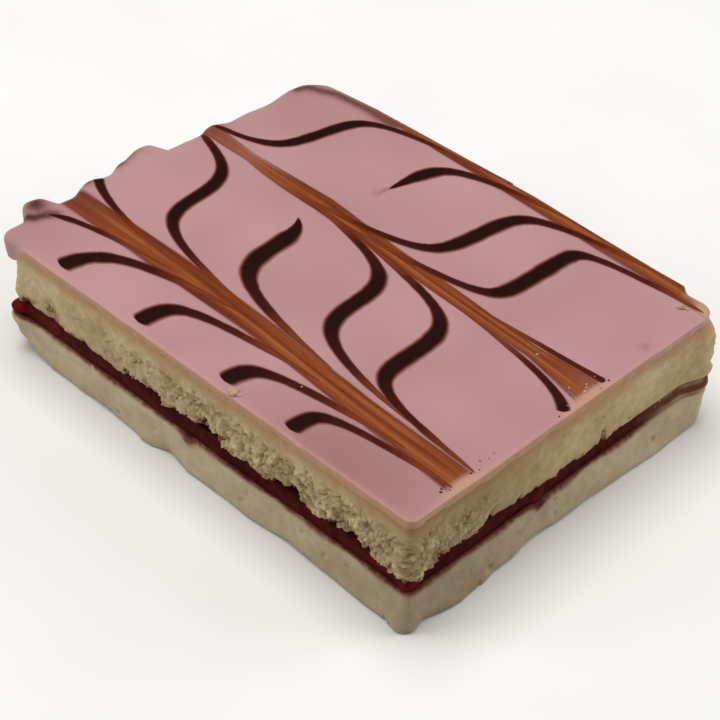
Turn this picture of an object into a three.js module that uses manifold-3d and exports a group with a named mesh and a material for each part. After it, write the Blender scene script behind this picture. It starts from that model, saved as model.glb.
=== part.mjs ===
// A slice of Alexander torte: two shortbread layers with raspberry jam between them, under a
// pink glaze that is feathered with chocolate. Millimetres, +Z up, X along the long side.
// The origin is at the middle of the underside, which lies flat on Z = 0.
import * as THREE from "three";
import { mergeVertices } from "three/addons/utils/BufferGeometryUtils.js";
import Module from "manifold-3d";

const wasm = await Module();
wasm.setup();

// ---------------------------------------------------------------- driving dimensions
const LENGTH = 80; // X, the long cut side
const WIDTH = 61; // Y
const BASE_TOP = 6.4; // heights of the layers above the underside
const JAM_TOP = 8.6;
const BISCUIT_TOP = 17.9;
const GLAZE_TOP = 19.3;
const CORNER_RADII = { right: 3.0, back: 3.2, left: 2.2, near: 1.6 }; // +X+Y, -X+Y, -X-Y, +X-Y

const STROKE_HEIGHT = 0.28; // how far the chocolate stands above the glaze
const STROKE_ROOT = 0.35; // how deep it is set into the glaze
const BAND_HEIGHT = 0.14;
const STROKE_STEP = 2.4; // length of one facet along a stroke
const LONGEST_DRAG = 23; // a stroke is drawn until the comb has dragged it this far

// ---------------------------------------------------------------- seeded relief
// A number from 0 to 1 that depends only on a lattice point and a seed.
function latticeValue(i, j, seed) {
  let h = (Math.imul(i, 374761393) + Math.imul(j, 668265263) + Math.imul(seed, 1274126177)) | 0;
  h = Math.imul(h ^ (h >>> 13), 1103515245);
  return ((h ^ (h >>> 16)) >>> 0) / 4294967296;
}

// Smooth noise from -1 to 1 over (along, up), which closes on itself after `around` cells along.
function relief(along, up, around, seed) {
  const i = Math.floor(along);
  const j = Math.floor(up);
  const ease = (t) => t * t * (3 - 2 * t);
  const a = ease(along - i);
  const b = ease(up - j);
  const at = (di, dj) => latticeValue((((i + di) % around) + around) % around, j + dj, seed);
  const low = at(0, 0) * (1 - a) + at(1, 0) * a;
  const high = at(0, 1) * (1 - a) + at(1, 1) * a;
  return 2 * (low * (1 - b) + high * b) - 1;
}

// ---------------------------------------------------------------- the slice's outline
// A rounded rectangle in the XY plane, run anticlockwise from the middle of the +X side.
const outline = new THREE.Path();
{
  const x = LENGTH / 2;
  const y = WIDTH / 2;
  const { right, back, left, near } = CORNER_RADII;
  outline.moveTo(x, 0);
  outline.lineTo(x, y - right);
  outline.absarc(x - right, y - right, right, 0, Math.PI / 2, false);
  outline.lineTo(back - x, y);
  outline.absarc(back - x, y - back, back, Math.PI / 2, Math.PI, false);
  outline.lineTo(-x, left - y);
  outline.absarc(left - x, left - y, left, Math.PI, 1.5 * Math.PI, false);
  outline.lineTo(x - near, -y);
  outline.absarc(x - near, near - y, near, 1.5 * Math.PI, 2 * Math.PI, false);
  outline.lineTo(x, 0);
}
const PERIMETER = outline.getLength();

// A place on the outline at a share u of the way round: its point, outward normal and distance.
function placeAt(u) {
  const tangent = outline.getTangentAt(u);
  return {
    point: outline.getPointAt(u),
    normal: new THREE.Vector2(tangent.y, -tangent.x),
    along: u * PERIMETER,
  };
}

// `count` evenly spaced places round the outline.
function placesRound(count) {
  return Array.from({ length: count }, (_, k) => placeAt(k / count));
}

// Soft lumps on a side, each about `wide` along it and `tall` up it, standing out by up to `out`.
function lumpAt({ wide, tall, out, seed }, along, z) {
  return out * relief(along / wide, z / tall, Math.round(PERIMETER / wide), seed);
}

// The sum of local bulges (positive) and bites (negative) at a point of a side.
// Each is { x, y, z, out, wide, tall }: its place, its depth, and its reach along and up.
function bulgesAt(bulges, point, z) {
  return bulges.reduce((sum, b) => {
    const across = Math.hypot(point.x - b.x, point.y - b.y) / b.wide;
    const up = (z - b.z) / b.tall;
    return sum + b.out * Math.exp(-across * across - up * up);
  }, 0);
}

// A value between stations [at, value]: straight lines, or eased so that it is level at each.
function between(stations, at, ease = (t) => t) {
  const last = stations.length - 1;
  if (at <= stations[0][0]) return stations[0][1];
  if (at >= stations[last][0]) return stations[last][1];
  const k = stations.findIndex(([place]) => place > at) - 1;
  const [[from, low], [to, high]] = [stations[k], stations[k + 1]];
  return THREE.MathUtils.lerp(low, high, ease((at - from) / (to - from)));
}

// A closed solid from rings of points, the lowest first, each ring run anticlockwise. A fan closes
// each end at a middle point of the given height.
function closedRings(rings, lowMiddle, highMiddle) {
  const count = rings[0].length;
  const positions = rings.flat().flatMap((point) => [point.x, point.y, point.z]);
  const faces = [];
  for (let ring = 0; ring + 1 < rings.length; ring++) {
    for (let k = 0; k < count; k++) {
      const a = ring * count + k;
      const b = ring * count + ((k + 1) % count);
      faces.push(a, b, b + count, a, b + count, a + count);
    }
  }
  const underside = positions.length / 3;
  const top = underside + 1;
  positions.push(0, 0, lowMiddle, 0, 0, highMiddle);
  const lastRing = (rings.length - 1) * count;
  for (let k = 0; k < count; k++) {
    const next = (k + 1) % count;
    faces.push(underside, next, k, top, lastRing + k, lastRing + next);
  }
  const geometry = new THREE.BufferGeometry();
  geometry.setAttribute("position", new THREE.Float32BufferAttribute(positions, 3));
  geometry.setIndex(faces);
  return geometry;
}

// A layer with a flat underside and top. Its wall is a list of [z, offset outwards, share of the
// relief that shows there].
function layer(count, wall, offsetAt) {
  const places = placesRound(count);
  const rings = wall.map(([z, offset, share]) =>
    places.map((place) => {
      const out = offset + offsetAt(place, z, share);
      return new THREE.Vector3(place.point.x + place.normal.x * out, place.point.y + place.normal.y * out, z);
    }),
  );
  return closedRings(rings, wall[0][0], wall.at(-1)[0]);
}

// How far a normal faces each of the four sides, from 0 to 1. -X is the sheet's own edge.
const facesSheetEdge = (normal) => Math.max(0, -normal.x) ** 2;
const facesRight = (normal) => Math.max(0, normal.x) ** 2;
const facesFront = (normal) => Math.max(0, -normal.y) ** 2;
const facesBack = (normal) => Math.max(0, normal.y) ** 2;

// ---------------------------------------------------------------- shortbread base
const BASE_COLUMNS = 148;
const BASE_WALL = [ // z, offset outwards, share of the relief
  [0, -0.6, 0.2], [0.35, 0, 0.35], [0.9, 0.14, 0.5], [1.7, 0.2, 0.7],
  [3.0, 0.2, 0.9], [4.6, 0.12, 0.9], [5.8, 0.05, 0.7], [BASE_TOP, -0.35, 0.4],
];
const BASE_LUMPS = { wide: 6.6, tall: 3.4, out: 0.3, seed: 3 };
const BASE_GRAIN = { wide: 2.5, tall: 1.7, out: 0.13, seed: 4 };
// How far the lower rim spread at each x of the long near side, and at each y of the right side.
const FRONT_RIM = [
  [-40, -2.0], [-35.6, -0.6], [-31.5, 0.1], [-25, -0.05], [-20.2, -0.35], [-16.8, 0], [-13.8, 0.2],
  [-11.2, 0.8], [-9.4, 0.7], [-7.9, 0.2], [-6.4, -0.45], [-4, 0], [-1.8, 0.5], [1, 0.3], [5.4, 0.25],
  [10.6, 0.55], [13.4, 0.4], [15.2, 0.2], [17.6, -0.25], [20, 0], [24.2, 0.25], [28.4, 0.45],
  [32.8, 0.7], [35.6, 0.6], [38, 0.9], [40, 1.5],
];
const RIGHT_RIM = [
  [-30.5, 0.9], [-29.4, 0.7], [-28.2, 0], [-27.2, 0], [-26.3, 0.3], [-24.8, 0.8], [-23.2, 1.25],
  [-21.5, 1.45], [-19.2, 1.2], [-17.2, 1.15], [-15.9, 0.85], [-14.5, 0.5], [-10.6, 0.5], [-7.9, -0.1],
  [-5.6, -0.3], [-3.7, -0.1], [-2, 0.3], [0, 0.4], [3, 0.3], [6, 0.3], [8.6, 0.5], [14.4, 0.75],
  [19.2, 0.8], [24.3, 0.6], [26.7, 0.45], [30.2, 0.3],
];
const RIM_HEIGHT = 1.9; // the spread fades with height by exp(-(z / this)^2)
const BASE_BULGES = [
  { x: 39.4, y: 29.6, z: 4.0, out: 0.75, wide: 4, tall: 3.6 },
  { x: 39.4, y: 29.6, z: 6.3, out: 0.7, wide: 3.6, tall: 1.2 },
  { x: -39.5, y: -30, z: 6.1, out: 1.5, wide: 2.8, tall: 1.0 },
  { x: -39.5, y: -30, z: 4.2, out: -0.3, wide: 3.0, tall: 1.2 },
  { x: -15, y: -30.5, z: 3.4, out: -0.15, wide: 1.5, tall: 1.0 },
  { x: 14, y: -30.5, z: 2.2, out: -0.25, wide: 1.6, tall: 1.1 },
];

function shortbreadBase() {
  return layer(BASE_COLUMNS, BASE_WALL, ({ point, normal, along }, z, share) => {
    const front = facesFront(normal) * between(FRONT_RIM, point.x);
    const right = facesRight(normal) * between(RIGHT_RIM, point.y);
    const lumps = lumpAt(BASE_LUMPS, along, z) + lumpAt(BASE_GRAIN, along, z);
    return bulgesAt(BASE_BULGES, point, z) + (front + right) * Math.exp(-((z / RIM_HEIGHT) ** 2)) + share * lumps;
  });
}

// ---------------------------------------------------------------- raspberry jam
const JAM_COLUMNS = 112;
const JAM_WALL = [ // z, offset outwards, share of the relief
  [BASE_TOP, -0.6, 0.5], [6.85, -0.75, 1], [7.6, -0.9, 1], [8.2, -1.0, 1], [JAM_TOP, -1.2, 0.75],
];
const JAM_LUMPS = { wide: 4.4, tall: 2, out: 0.25, seed: 7 };
const JAM_BULGES = [
  { x: -39.6, y: -29.8, z: 7.2, out: 2.0, wide: 1.8, tall: 1.1 },
  { x: 39.4, y: -29.8, z: 7.2, out: 0.6, wide: 2.2, tall: 1.2 },
  { x: 40, y: -5, z: 6.8, out: 0.5, wide: 1.4, tall: 0.9 },
  { x: -8, y: -30.5, z: 7.4, out: 0.3, wide: 2.4, tall: 1.2 },
  { x: 18, y: -30.5, z: 7.4, out: 0.3, wide: 3, tall: 1.2 },
  { x: 39.6, y: 29.8, z: 7.4, out: 2.5, wide: 3.8, tall: 2.6 },
  { x: 40, y: 23, z: 7.6, out: 0.5, wide: 5, tall: 2.5 },
];

function jamLayer() {
  const seeping = ({ point, along }, z, share) =>
    share * (bulgesAt(JAM_BULGES, point, z) + lumpAt(JAM_LUMPS, along, z));
  return layer(JAM_COLUMNS, JAM_WALL, seeping);
}

// ---------------------------------------------------------------- crumbly top layer
const CRUMB_COLUMNS = 196;
const CRUMB_WALL = [ // z, offset outwards, share of the relief
  [JAM_TOP, -0.75, 0.6], [9.3, -0.2, 1], [10.3, 0, 1], [11.4, 0.12, 1], [12.6, 0.12, 1],
  [13.9, 0.08, 1], [15.2, 0, 0.9], [16.5, -0.03, 0.6], [BISCUIT_TOP, -0.1, 0.25],
];
const COARSE_CRUMBS = { wide: 3.1, tall: 2.3, out: 0.42, seed: 11 };
const FINE_CRUMBS = { wide: 1.5, tall: 1.3, out: 0.32, seed: 12 };
const CRUMB_BULGES = [
  { x: 38.8, y: -30, z: 11.5, out: 0.7, wide: 3.2, tall: 3.6 },
  { x: 19, y: -30.5, z: 15.2, out: 0.3, wide: 2.2, tall: 1.6 },
  { x: 36, y: -30.5, z: 10.4, out: 0.5, wide: 2.6, tall: 2 },
  { x: -31.4, y: -30.5, z: 11.2, out: -0.9, wide: 2, tall: 2.2 },
  { x: 2, y: -30.5, z: 9.8, out: -0.6, wide: 1.9, tall: 1.8 },
  { x: 17.5, y: -30.5, z: 9.6, out: -0.7, wide: 2, tall: 1.6 },
  { x: 29.5, y: -30.5, z: 10, out: -0.6, wide: 1.8, tall: 1.4 },
  { x: 40, y: -14, z: 9.4, out: -0.7, wide: 2.4, tall: 1.6 },
  { x: 14.5, y: -30.5, z: 13.6, out: 0.4, wide: 2.2, tall: 1.4 },
  { x: 24.5, y: -30.5, z: 10.4, out: 0.35, wide: 1.6, tall: 0.9 },
  { x: 37.5, y: -30.5, z: 14.2, out: 0.3, wide: 1.6, tall: 1.2 },
  { x: 39.8, y: 30.2, z: 12, out: 1.0, wide: 3.2, tall: 3.4 },
  { x: 39.6, y: 29.8, z: 16.4, out: 1.1, wide: 2.6, tall: 1.7 },
  { x: 39.6, y: 30, z: 8.8, out: 1.3, wide: 3.4, tall: 1.0 },
  { x: 39.6, y: 30, z: 8.5, out: 1.2, wide: 3.4, tall: 0.55 },
  { x: -40, y: -30.4, z: 10.6, out: 0.6, wide: 2.6, tall: 2.4 },
];
// Gaps over the jam where crumbs fell away: each place of the side, how high it reaches, half width.
const NOTCHES = [
  { x: -36.4, y: -30.5, reach: 10.4, wide: 1.3 },
  { x: -24, y: -30.5, reach: 9.5, wide: 2.0 },
  { x: -14.4, y: -30.5, reach: 10.6, wide: 0.9 },
  { x: -11, y: -30.5, reach: 10.1, wide: 3.0 },
  { x: -8, y: -30.5, reach: 10.3, wide: 1.2 },
  { x: -3, y: -30.5, reach: 9.9, wide: 2.2 },
  { x: 1.6, y: -30.5, reach: 11.5, wide: 1.4 },
  { x: 5.2, y: -30.5, reach: 10.6, wide: 0.9 },
  { x: 15.5, y: -30.5, reach: 9.9, wide: 1.2 },
  { x: 18.3, y: -30.5, reach: 11.2, wide: 1.2 },
  { x: 26.5, y: -30.5, reach: 10.9, wide: 0.9 },
  { x: 29.4, y: -30.5, reach: 11.3, wide: 0.9 },
  { x: 32.6, y: -30.5, reach: 10.8, wide: 0.8 },
  { x: 40, y: -28, reach: 10.0, wide: 1.4 },
  { x: 40, y: -24.4, reach: 10.6, wide: 1.3 },
  { x: 40, y: -21.5, reach: 9.8, wide: 1.5 },
  { x: 40, y: -15, reach: 11.0, wide: 1.2 },
  { x: 40, y: -9.5, reach: 10.4, wide: 0.7 },
  { x: 40, y: -6, reach: 9.4, wide: 2.0 },
  { x: 40, y: 0, reach: 10.0, wide: 3.0 },
  { x: 40, y: 7.3, reach: 10.9, wide: 0.6 },
  { x: 40, y: 11, reach: 9.5, wide: 3.0 },
];
const NOTCH_DEPTH = 0.75;
const NOTCH_STEEPNESS = 3; // how fast a gap's height falls off past its half width
const RAGGED_LIFT = 0.35; // the crumbs' lower edge lies this far above the jam between the gaps
const SMOOTH_CRUST = [0.5, 3.8]; // crumbs begin this far below the glaze, and are full this far down
const SHEET_EDGE_INSET = 0.7; // the sheet's own edge stands back, and leans in towards the glaze
const SHEET_EDGE_SLOPE = 0.13;
const BACK_BULGE = { out: 1.3, z: 12, tall: 4.5 }; // the back side bulges most half way up

// The long near side grows coarse towards +X, and +X is fairly smooth away from the near corner.
function coarsenessOf({ point, normal }) {
  const front = 0.4 + 0.6 * THREE.MathUtils.smoothstep(point.x, -24, 6);
  const right = 0.2 + 0.7 * (1 - THREE.MathUtils.smoothstep(point.y, -27, -9));
  const near = facesFront(normal) * front + facesRight(normal) * right;
  return near + 0.7 * facesBack(normal) + 0.3 * facesSheetEdge(normal);
}

// Height of the crumbs' lower edge, raised at the gaps.
function raggedEdge(point) {
  return NOTCHES.reduce((edge, notch) => {
    const across = Math.hypot(point.x - notch.x, point.y - notch.y) / notch.wide;
    return Math.max(edge, notch.reach - NOTCH_STEEPNESS * Math.max(0, across - 0.6));
  }, JAM_TOP + RAGGED_LIFT);
}

function crumbLayer() {
  return layer(CRUMB_COLUMNS, CRUMB_WALL, (place, z, share) => {
    const { point, normal, along } = place;
    const lower = THREE.MathUtils.smoothstep(BISCUIT_TOP - z, ...SMOOTH_CRUST);
    const crumbs = lumpAt(COARSE_CRUMBS, along, z) + lumpAt(FINE_CRUMBS, along, z);
    const torn = lower * coarsenessOf(place) * crumbs;
    const leaning = facesSheetEdge(normal) * (SHEET_EDGE_INSET + SHEET_EDGE_SLOPE * (z - JAM_TOP));
    const back = facesBack(normal) * BACK_BULGE.out * Math.exp(-(((z - BACK_BULGE.z) / BACK_BULGE.tall) ** 2));
    const notch = NOTCH_DEPTH * THREE.MathUtils.smoothstep(raggedEdge(point) - z, -0.1, 0.35);
    return share * (bulgesAt(CRUMB_BULGES, point, z) + torn) + back - leaning - notch;
  });
}

// ---------------------------------------------------------------- solids that are joined
function solidOf(geometry) {
  const bare = geometry.clone();
  bare.deleteAttribute("normal");
  bare.deleteAttribute("uv");
  const merged = mergeVertices(bare, 1e-4);
  return new wasm.Manifold(
    new wasm.Mesh({
      numProp: 3,
      vertProperties: merged.getAttribute("position").array,
      triVerts: new Uint32Array(merged.index.array),
    }),
  );
}

function geometryOf(solid) {
  const mesh = solid.getMesh();
  const geometry = new THREE.BufferGeometry();
  geometry.setAttribute("position", new THREE.Float32BufferAttribute(mesh.vertProperties, 3));
  geometry.setIndex(new THREE.BufferAttribute(mesh.triVerts, 1));
  geometry.computeVertexNormals();
  return geometry;
}

// ---------------------------------------------------------------- chocolate feathering
// Chocolate lines were piped across the slice, then combed along X, one way and then the other.
// Near a comb's path a line is dragged along by exp((y - y1) / fade), where y1 is the height at
// which it has moved 1 mm. Below and above are [y1, fade] for the combs on either side.
const DRAG = { low: [0, 1], mid: [1, -1], up: [-1, 1] }; // combing direction below, above
const STROKES = [
  { field: "low", x: -43.3, width: 1.9, from: -22.8, above: [-24.67, 2.03] },
  { field: "low", x: -30.4, width: 2.6, from: -28.9, above: [-26.46, 2.72] },
  { field: "low", x: -13.2, width: 2.6, from: -29.1, above: [-24.52, 1.46] },
  { field: "low", x: 3.9, width: 2.7, from: -28.9, above: [-25.47, 1.38] },
  { field: "low", x: 16.86, width: 2.5, from: -29.2, above: [-25.06, 1.02] },
  { field: "mid", x: -46, width: 1.9, below: [-8.3, 2.6], to: -10.2 },
  { field: "mid", x: -29.1, width: 2.0, lean: 0.116, below: [-7.95, 2.55], above: [-0.69, 3.1] },
  { field: "mid", x: -12.74, width: 2.6, lean: 0.087, below: [-8.26, 2.63], above: [0.36, 2.39], to: 2.9 },
  { field: "mid", x: 4.32, width: 2.3, lean: 0.142, below: [-8.4, 2.71], above: [-0.88, 2.58] },
  { field: "mid", x: 17.55, width: 2.3, lean: 0.044, below: [-12.86, 1.61], above: [-1.48, 2.39] },
  { field: "mid", x: 41.37, width: 1.9, lean: -0.055, from: -1.4, above: [-2.54, 2.22] },
  { field: "up", x: -28.49, width: 1.9, lean: 0.171, below: [14.62, 1.8], above: [26.74, 1.58] },
  { field: "up", x: -11, width: 2.2, lean: 0.108, from: 17.4, above: [26.39, 1.7] },
  { field: "up", x: 5.46, width: 2.2, lean: 0.093, below: [12.99, 1.8], above: [26.03, 1.62] },
  { field: "up", x: 17.5, width: 2.4, lean: 0.024, below: [11.14, 1.29], above: [26.1, 0.9] },
  { field: "up", x: 41.6, width: 2.3, below: [8.1, 0.42], to: 7.9 },
];
const FIELD_MIDDLE = { low: -26, mid: -5, up: 19 };
const LINE_SAMPLES = 90;

// The stroke's own middle line as a 2D curve: where it was piped, plus its lean and its drag.
function strokeLine({ field, x, lean = 0, below, above, from, to }) {
  const reach = Math.log(LONGEST_DRAG);
  const first = from ?? below[0] - below[1] * reach;
  const last = to ?? above[0] + above[1] * reach;
  const [dragBelow, dragAbove] = DRAG[field];
  const points = [];
  for (let k = 0; k <= LINE_SAMPLES; k++) {
    const y = first + ((last - first) * k) / LINE_SAMPLES;
    const pulledBelow = below ? dragBelow * Math.exp((below[0] - y) / below[1]) : 0;
    const pulledAbove = above ? dragAbove * Math.exp((y - above[0]) / above[1]) : 0;
    points.push(new THREE.Vector2(x + lean * (y - FIELD_MIDDLE[field]) + pulledBelow + pulledAbove, y));
  }
  return new THREE.SplineCurve(points);
}

// A low rib along a line: a wide root inside the glaze and a narrower back above it.
// widthAt(u, tangent) is its full width; its two ends are flat.
const RIB_BACK = 0.6; // width of the back as a share of the root's
function rib(curve, height, widthAt) {
  const steps = Math.max(3, Math.round(curve.getLength() / STROKE_STEP));
  const positions = [];
  const faces = [];
  for (let k = 0; k <= steps; k++) {
    const u = k / steps;
    const centre = curve.getPointAt(u);
    const tangent = curve.getTangentAt(u);
    const half = widthAt(u, tangent) / 2;
    const section = [
      [-half, -STROKE_ROOT],
      [half, -STROKE_ROOT],
      [half * RIB_BACK, height],
      [-half * RIB_BACK, height],
    ];
    for (const [side, up] of section) {
      positions.push(centre.x + tangent.y * side, centre.y - tangent.x * side, GLAZE_TOP + up);
    }
    if (k === steps) break;
    for (let side = 0; side < 4; side++) {
      const a = k * 4 + side;
      const b = k * 4 + ((side + 1) % 4);
      faces.push(a, b + 4, b, a, a + 4, b + 4);
    }
  }
  const last = steps * 4;
  faces.push(0, 1, 2, 0, 2, 3, last, last + 2, last + 1, last, last + 3, last + 2);
  const geometry = new THREE.BufferGeometry();
  geometry.setAttribute("position", new THREE.Float32BufferAttribute(positions, 3));
  geometry.setIndex(faces);
  return solidOf(geometry);
}

// A piped line keeps its width along X, so it is thinnest where the comb has laid it along X.
const THINNEST = 0.3; // the least share of its width that a dragged line keeps
function strokeRib(stroke) {
  const width = (u, tangent) => stroke.width * (THINNEST + (1 - THINNEST) * Math.abs(tangent.y));
  return rib(strokeLine(stroke), STROKE_HEIGHT, width);
}

// The brown bands are the tails of all the strokes, drawn out side by side along a comb's path.
// A station is [x, y of the middle, width].
const BANDS = [
  [[-41, -17.3, 4.5], [-20, -17.4, 4.8], [0, -18, 4.1], [20, -19.5, 4.0], [38.4, -20.4, 4.9]],
  [
    [-41, 9, 3.2], [-31, 8.5, 1.6], [-22, 8.1, 2.8], [-15, 8.1, 3.5], [0, 7, 3],
    [20, 5.6, 2.7], [28, 5.2, 2.6], [38.4, 4.6, 5.0],
  ],
  [[-22, 30.6, 0.9], [-10, 30.7, 1.7], [14, 30.6, 1.8], [26, 30.4, 1.7], [33, 30.0, 1.6], [38.4, 29.0, 1.2]],
];

function bandRib(stations) {
  const middle = new THREE.SplineCurve(stations.map(([x, y]) => new THREE.Vector2(x, y)));
  const widths = stations.map(([x, , width]) => [x, width]);
  return rib(middle, BAND_HEIGHT, (u) => between(widths, middle.getPointAt(u).x));
}

// ---------------------------------------------------------------- pink glaze
// Stations [y, reach past the slice] along the sheet's own edge, where the glaze ran out in
// tongues, and [x, reach] along the back, where it was dragged over the edge.
const TONGUES = [
  [-33, 2.8], [-30.4, 2.6], [-26.2, 2.5], [-22.5, 6.3], [-21.2, 5.9], [-19.2, 2.5], [-17.2, 2.3],
  [-13, 4.0], [-9.5, 3.05], [-6, 4.5], [-1.7, 5.5], [-0.5, 5.4], [1.1, 1.95], [3.5, 1.8], [7, 1.45],
  [10, 2.4], [13.2, 0.9], [15.5, 0.95], [20.5, 0.4], [25.8, 1.0], [30.5, 0.3],
];
const SPILL = [
  [-39, 0.2], [-35, 1.1], [-28, 1.8], [-10, 2.2], [4, 2.7], [16, 2.2], [28, 1.85], [33, 1.9], [34.6, 0.1],
];
const KNOBS = [ // drops where the glaze piled up
  { x: -43.6, y: -22, tall: 0.55, wide: 1.3 },
  { x: -42.4, y: -12.8, tall: 0.25, wide: 1.0 },
  { x: -43.2, y: -2.2, tall: 0.3, wide: 1.6 },
];
const STRETCHED = 10; // the last 10 mm before a poured edge are stretched out as far as it reaches
const RIM = { wide: 0.35, drop: 0.25 }; // the rounded rim on a cut side
const LIP = { wide: 1.9, drop: 1.2, dropPerReach: 0.3, longestReach: 4 }; // and the lip on a poured side
const LIP_ROUNDNESS = 2.4; // exponent of the rim's and lip's section: 2 would be a quarter ellipse
const DROOP = { cut: 0.26, poured: -0.08, wide: 2.4 }; // the glaze sinks to a cut and swells to a lip
const SKIRT = { perReach: 0.5, longestReach: 2.2 }; // how far the tongues hang below the glaze
const TUCK = { least: 0.9, perReach: 0.4 }; // how far a tongue's underside runs back to the slice
const CORNER_DRIP = { y: -30.2, wide: 1.6, share: 0.7 }; // the corner's tongue hangs lower
const RIPPLE = { wide: 9, tall: 1, out: 0.1, seed: 21 };
const CUT_INSET = 0.1; // a cut side of the glaze is flush with the biscuit's
const SIDE_DOWNS = [1, 0.55, 0]; // rings of the side: the share of the way down to its lower edge
const TOP_INSIDES = [0.5, 1.3, 3.4]; // rings of the top: how far inside the edge along X
const UNDERSIDE = BISCUIT_TOP - 0.5; // the slab goes down past the biscuit's top and is cut there
const GLAZE_COLUMNS = 130;
const TONGUE_COLUMNS = 70; // more columns where the tongues run out

const eased = (t) => t * t * (3 - 2 * t);
const tongueReach = (y) => between(TONGUES, y, eased);
const spillReach = (x) => between(SPILL, x);

// Pushes the last 10 mm before the -X and +Y edges outwards.
function pushedOut(point) {
  const pastX = Math.max(0, STRETCHED - LENGTH / 2 - point.x);
  const pastY = Math.max(0, point.y - WIDTH / 2 + STRETCHED);
  const x = point.x - (pastX * tongueReach(point.y)) / STRETCHED;
  const y = point.y + (pastY * spillReach(point.x)) / STRETCHED;
  return new THREE.Vector2(x, y);
}

// 1 where the edge was poured or dragged over, 0 where it was cut.
function pouredSide({ x, y }) {
  const left = THREE.MathUtils.smoothstep(-x, LENGTH / 2 - 5, LENGTH / 2 - 0.5);
  const over = THREE.MathUtils.smoothstep(spillReach(x), 0.2, 1.2);
  return Math.max(left, over * THREE.MathUtils.smoothstep(y, WIDTH / 2 - 4, WIDTH / 2 - 0.5));
}

// How far the surface lies below the glaze's top at a distance inside its edge.
function lipDrop(inside, poured, reach) {
  const { lerp } = THREE.MathUtils;
  const drop = lerp(RIM.drop, LIP.drop + LIP.dropPerReach * Math.min(LIP.longestReach, reach), poured);
  const t = 1 - Math.min(1, inside / lerp(RIM.wide, LIP.wide, poured));
  const droop = lerp(DROOP.cut, DROOP.poured, poured) * Math.exp(-inside / DROOP.wide);
  return drop * (1 - (1 - t ** LIP_ROUNDNESS) ** (1 / LIP_ROUNDNESS)) + droop;
}

function knobsAt({ x, y }) {
  return KNOBS.reduce((sum, k) => sum + k.tall * Math.exp(-((x - k.x) ** 2 + (y - k.y) ** 2) / k.wide ** 2), 0);
}

// Places round the slice for the glaze, closer together along the sheet's own edge.
function glazePlaces() {
  const start = (WIDTH / 2 + LENGTH - CORNER_RADII.back) / PERIMETER;
  const end = 1 - start;
  const even = Array.from({ length: GLAZE_COLUMNS }, (_, k) => k / GLAZE_COLUMNS);
  const spread = even.filter((u) => u < start || u > end);
  const step = (end - start) / TONGUE_COLUMNS;
  const close = Array.from({ length: TONGUE_COLUMNS }, (_, k) => start + (k + 0.5) * step);
  return [...spread, ...close].sort((a, b) => a - b).map(placeAt);
}

// One column of the slab: points from its lower edge up its side and in over its top.
function glazeColumn({ point, normal, along }) {
  const { lerp } = THREE.MathUtils;
  const edge = pushedOut(point);
  const poured = pouredSide(edge);
  const reach = point.x < 4 - LENGTH / 2 ? tongueReach(point.y) : spillReach(point.x);
  const flush = lerp(-CUT_INSET, lumpAt(RIPPLE, along, 0), poured);
  const drip = 1 + CORNER_DRIP.share * Math.exp(-(((point.y - CORNER_DRIP.y) / CORNER_DRIP.wide) ** 2));
  const low = BISCUIT_TOP - poured * SKIRT.perReach * drip * Math.min(reach, SKIRT.longestReach);
  const rim = GLAZE_TOP - lipDrop(0, poured, reach) + knobsAt(edge);
  const uncut = Math.min(1, facesSheetEdge(normal) + facesBack(normal));
  const tuck = poured * uncut * (TUCK.least + TUCK.perReach * reach);
  const side = SIDE_DOWNS.map((down) => {
    const out = flush - tuck * (1 - Math.sqrt(1 - down * down));
    return new THREE.Vector3(edge.x + normal.x * out, edge.y + normal.y * out, lerp(rim, low, down));
  });
  const top = TOP_INSIDES.map((inside, k) => {
    const flat = pushedOut(point.clone().multiplyScalar(1 - (2 * inside) / LENGTH));
    const level = k === TOP_INSIDES.length - 1;
    const z = level ? GLAZE_TOP : GLAZE_TOP - lipDrop(inside, poured, reach) + knobsAt(flat);
    return new THREE.Vector3(flat.x, flat.y, z);
  });
  return [...side, ...top];
}

function glazeSlab() {
  const columns = glazePlaces().map(glazeColumn);
  const rings = columns[0].map((_, ring) => columns.map((column) => column[ring]));
  return solidOf(closedRings(rings, UNDERSIDE, GLAZE_TOP));
}

function boxBetween(low, high) {
  const block = new THREE.BoxGeometry(...high.clone().sub(low).toArray());
  block.translate(...low.clone().add(high).multiplyScalar(0.5).toArray());
  return solidOf(block);
}

// The space that the top biscuit takes, under the glaze. On the sheet's own edge and at the back it
// stands a little in front of the biscuit, so the glaze hangs clear of it.
function biscuitRoom() {
  return boxBetween(new THREE.Vector3(-39.4, -WIDTH, 0), new THREE.Vector3(LENGTH, 31.4, BISCUIT_TOP));
}

// The chocolate ends where the slice was cut, and just inside the poured edges.
function cutToSlice() {
  return boxBetween(new THREE.Vector3(-40.3, -29.8, UNDERSIDE), new THREE.Vector3(39.3, 31.1, GLAZE_TOP + 1));
}

function featheredGlaze() {
  const within = cutToSlice();
  const chocolate = [...BANDS.map(bandRib), ...STROKES.map(strokeRib)].map((solid) => solid.intersect(within));
  const joined = chocolate.reduce((sum, solid) => sum.add(solid), glazeSlab().subtract(biscuitRoom()));
  return geometryOf(joined);
}

// ---------------------------------------------------------------- the slice
function piece(name, geometry, color, roughness) {
  geometry.computeVertexNormals();
  const material = new THREE.MeshStandardMaterial({ color, roughness, metalness: 0 });
  const mesh = new THREE.Mesh(geometry, material);
  mesh.name = name;
  return mesh;
}

const slice = new THREE.Group();
slice.name = "alexander_torte_slice";
slice.add(
  piece("base_biscuit", shortbreadBase(), 0xb0a27a, 0.85),
  piece("jam", jamLayer(), 0x5a1710, 0.2),
  piece("top_biscuit", crumbLayer(), 0xb39d6c, 0.9),
  piece("glaze", featheredGlaze(), 0xc79a9a, 0.25),
);

export default slice;
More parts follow.
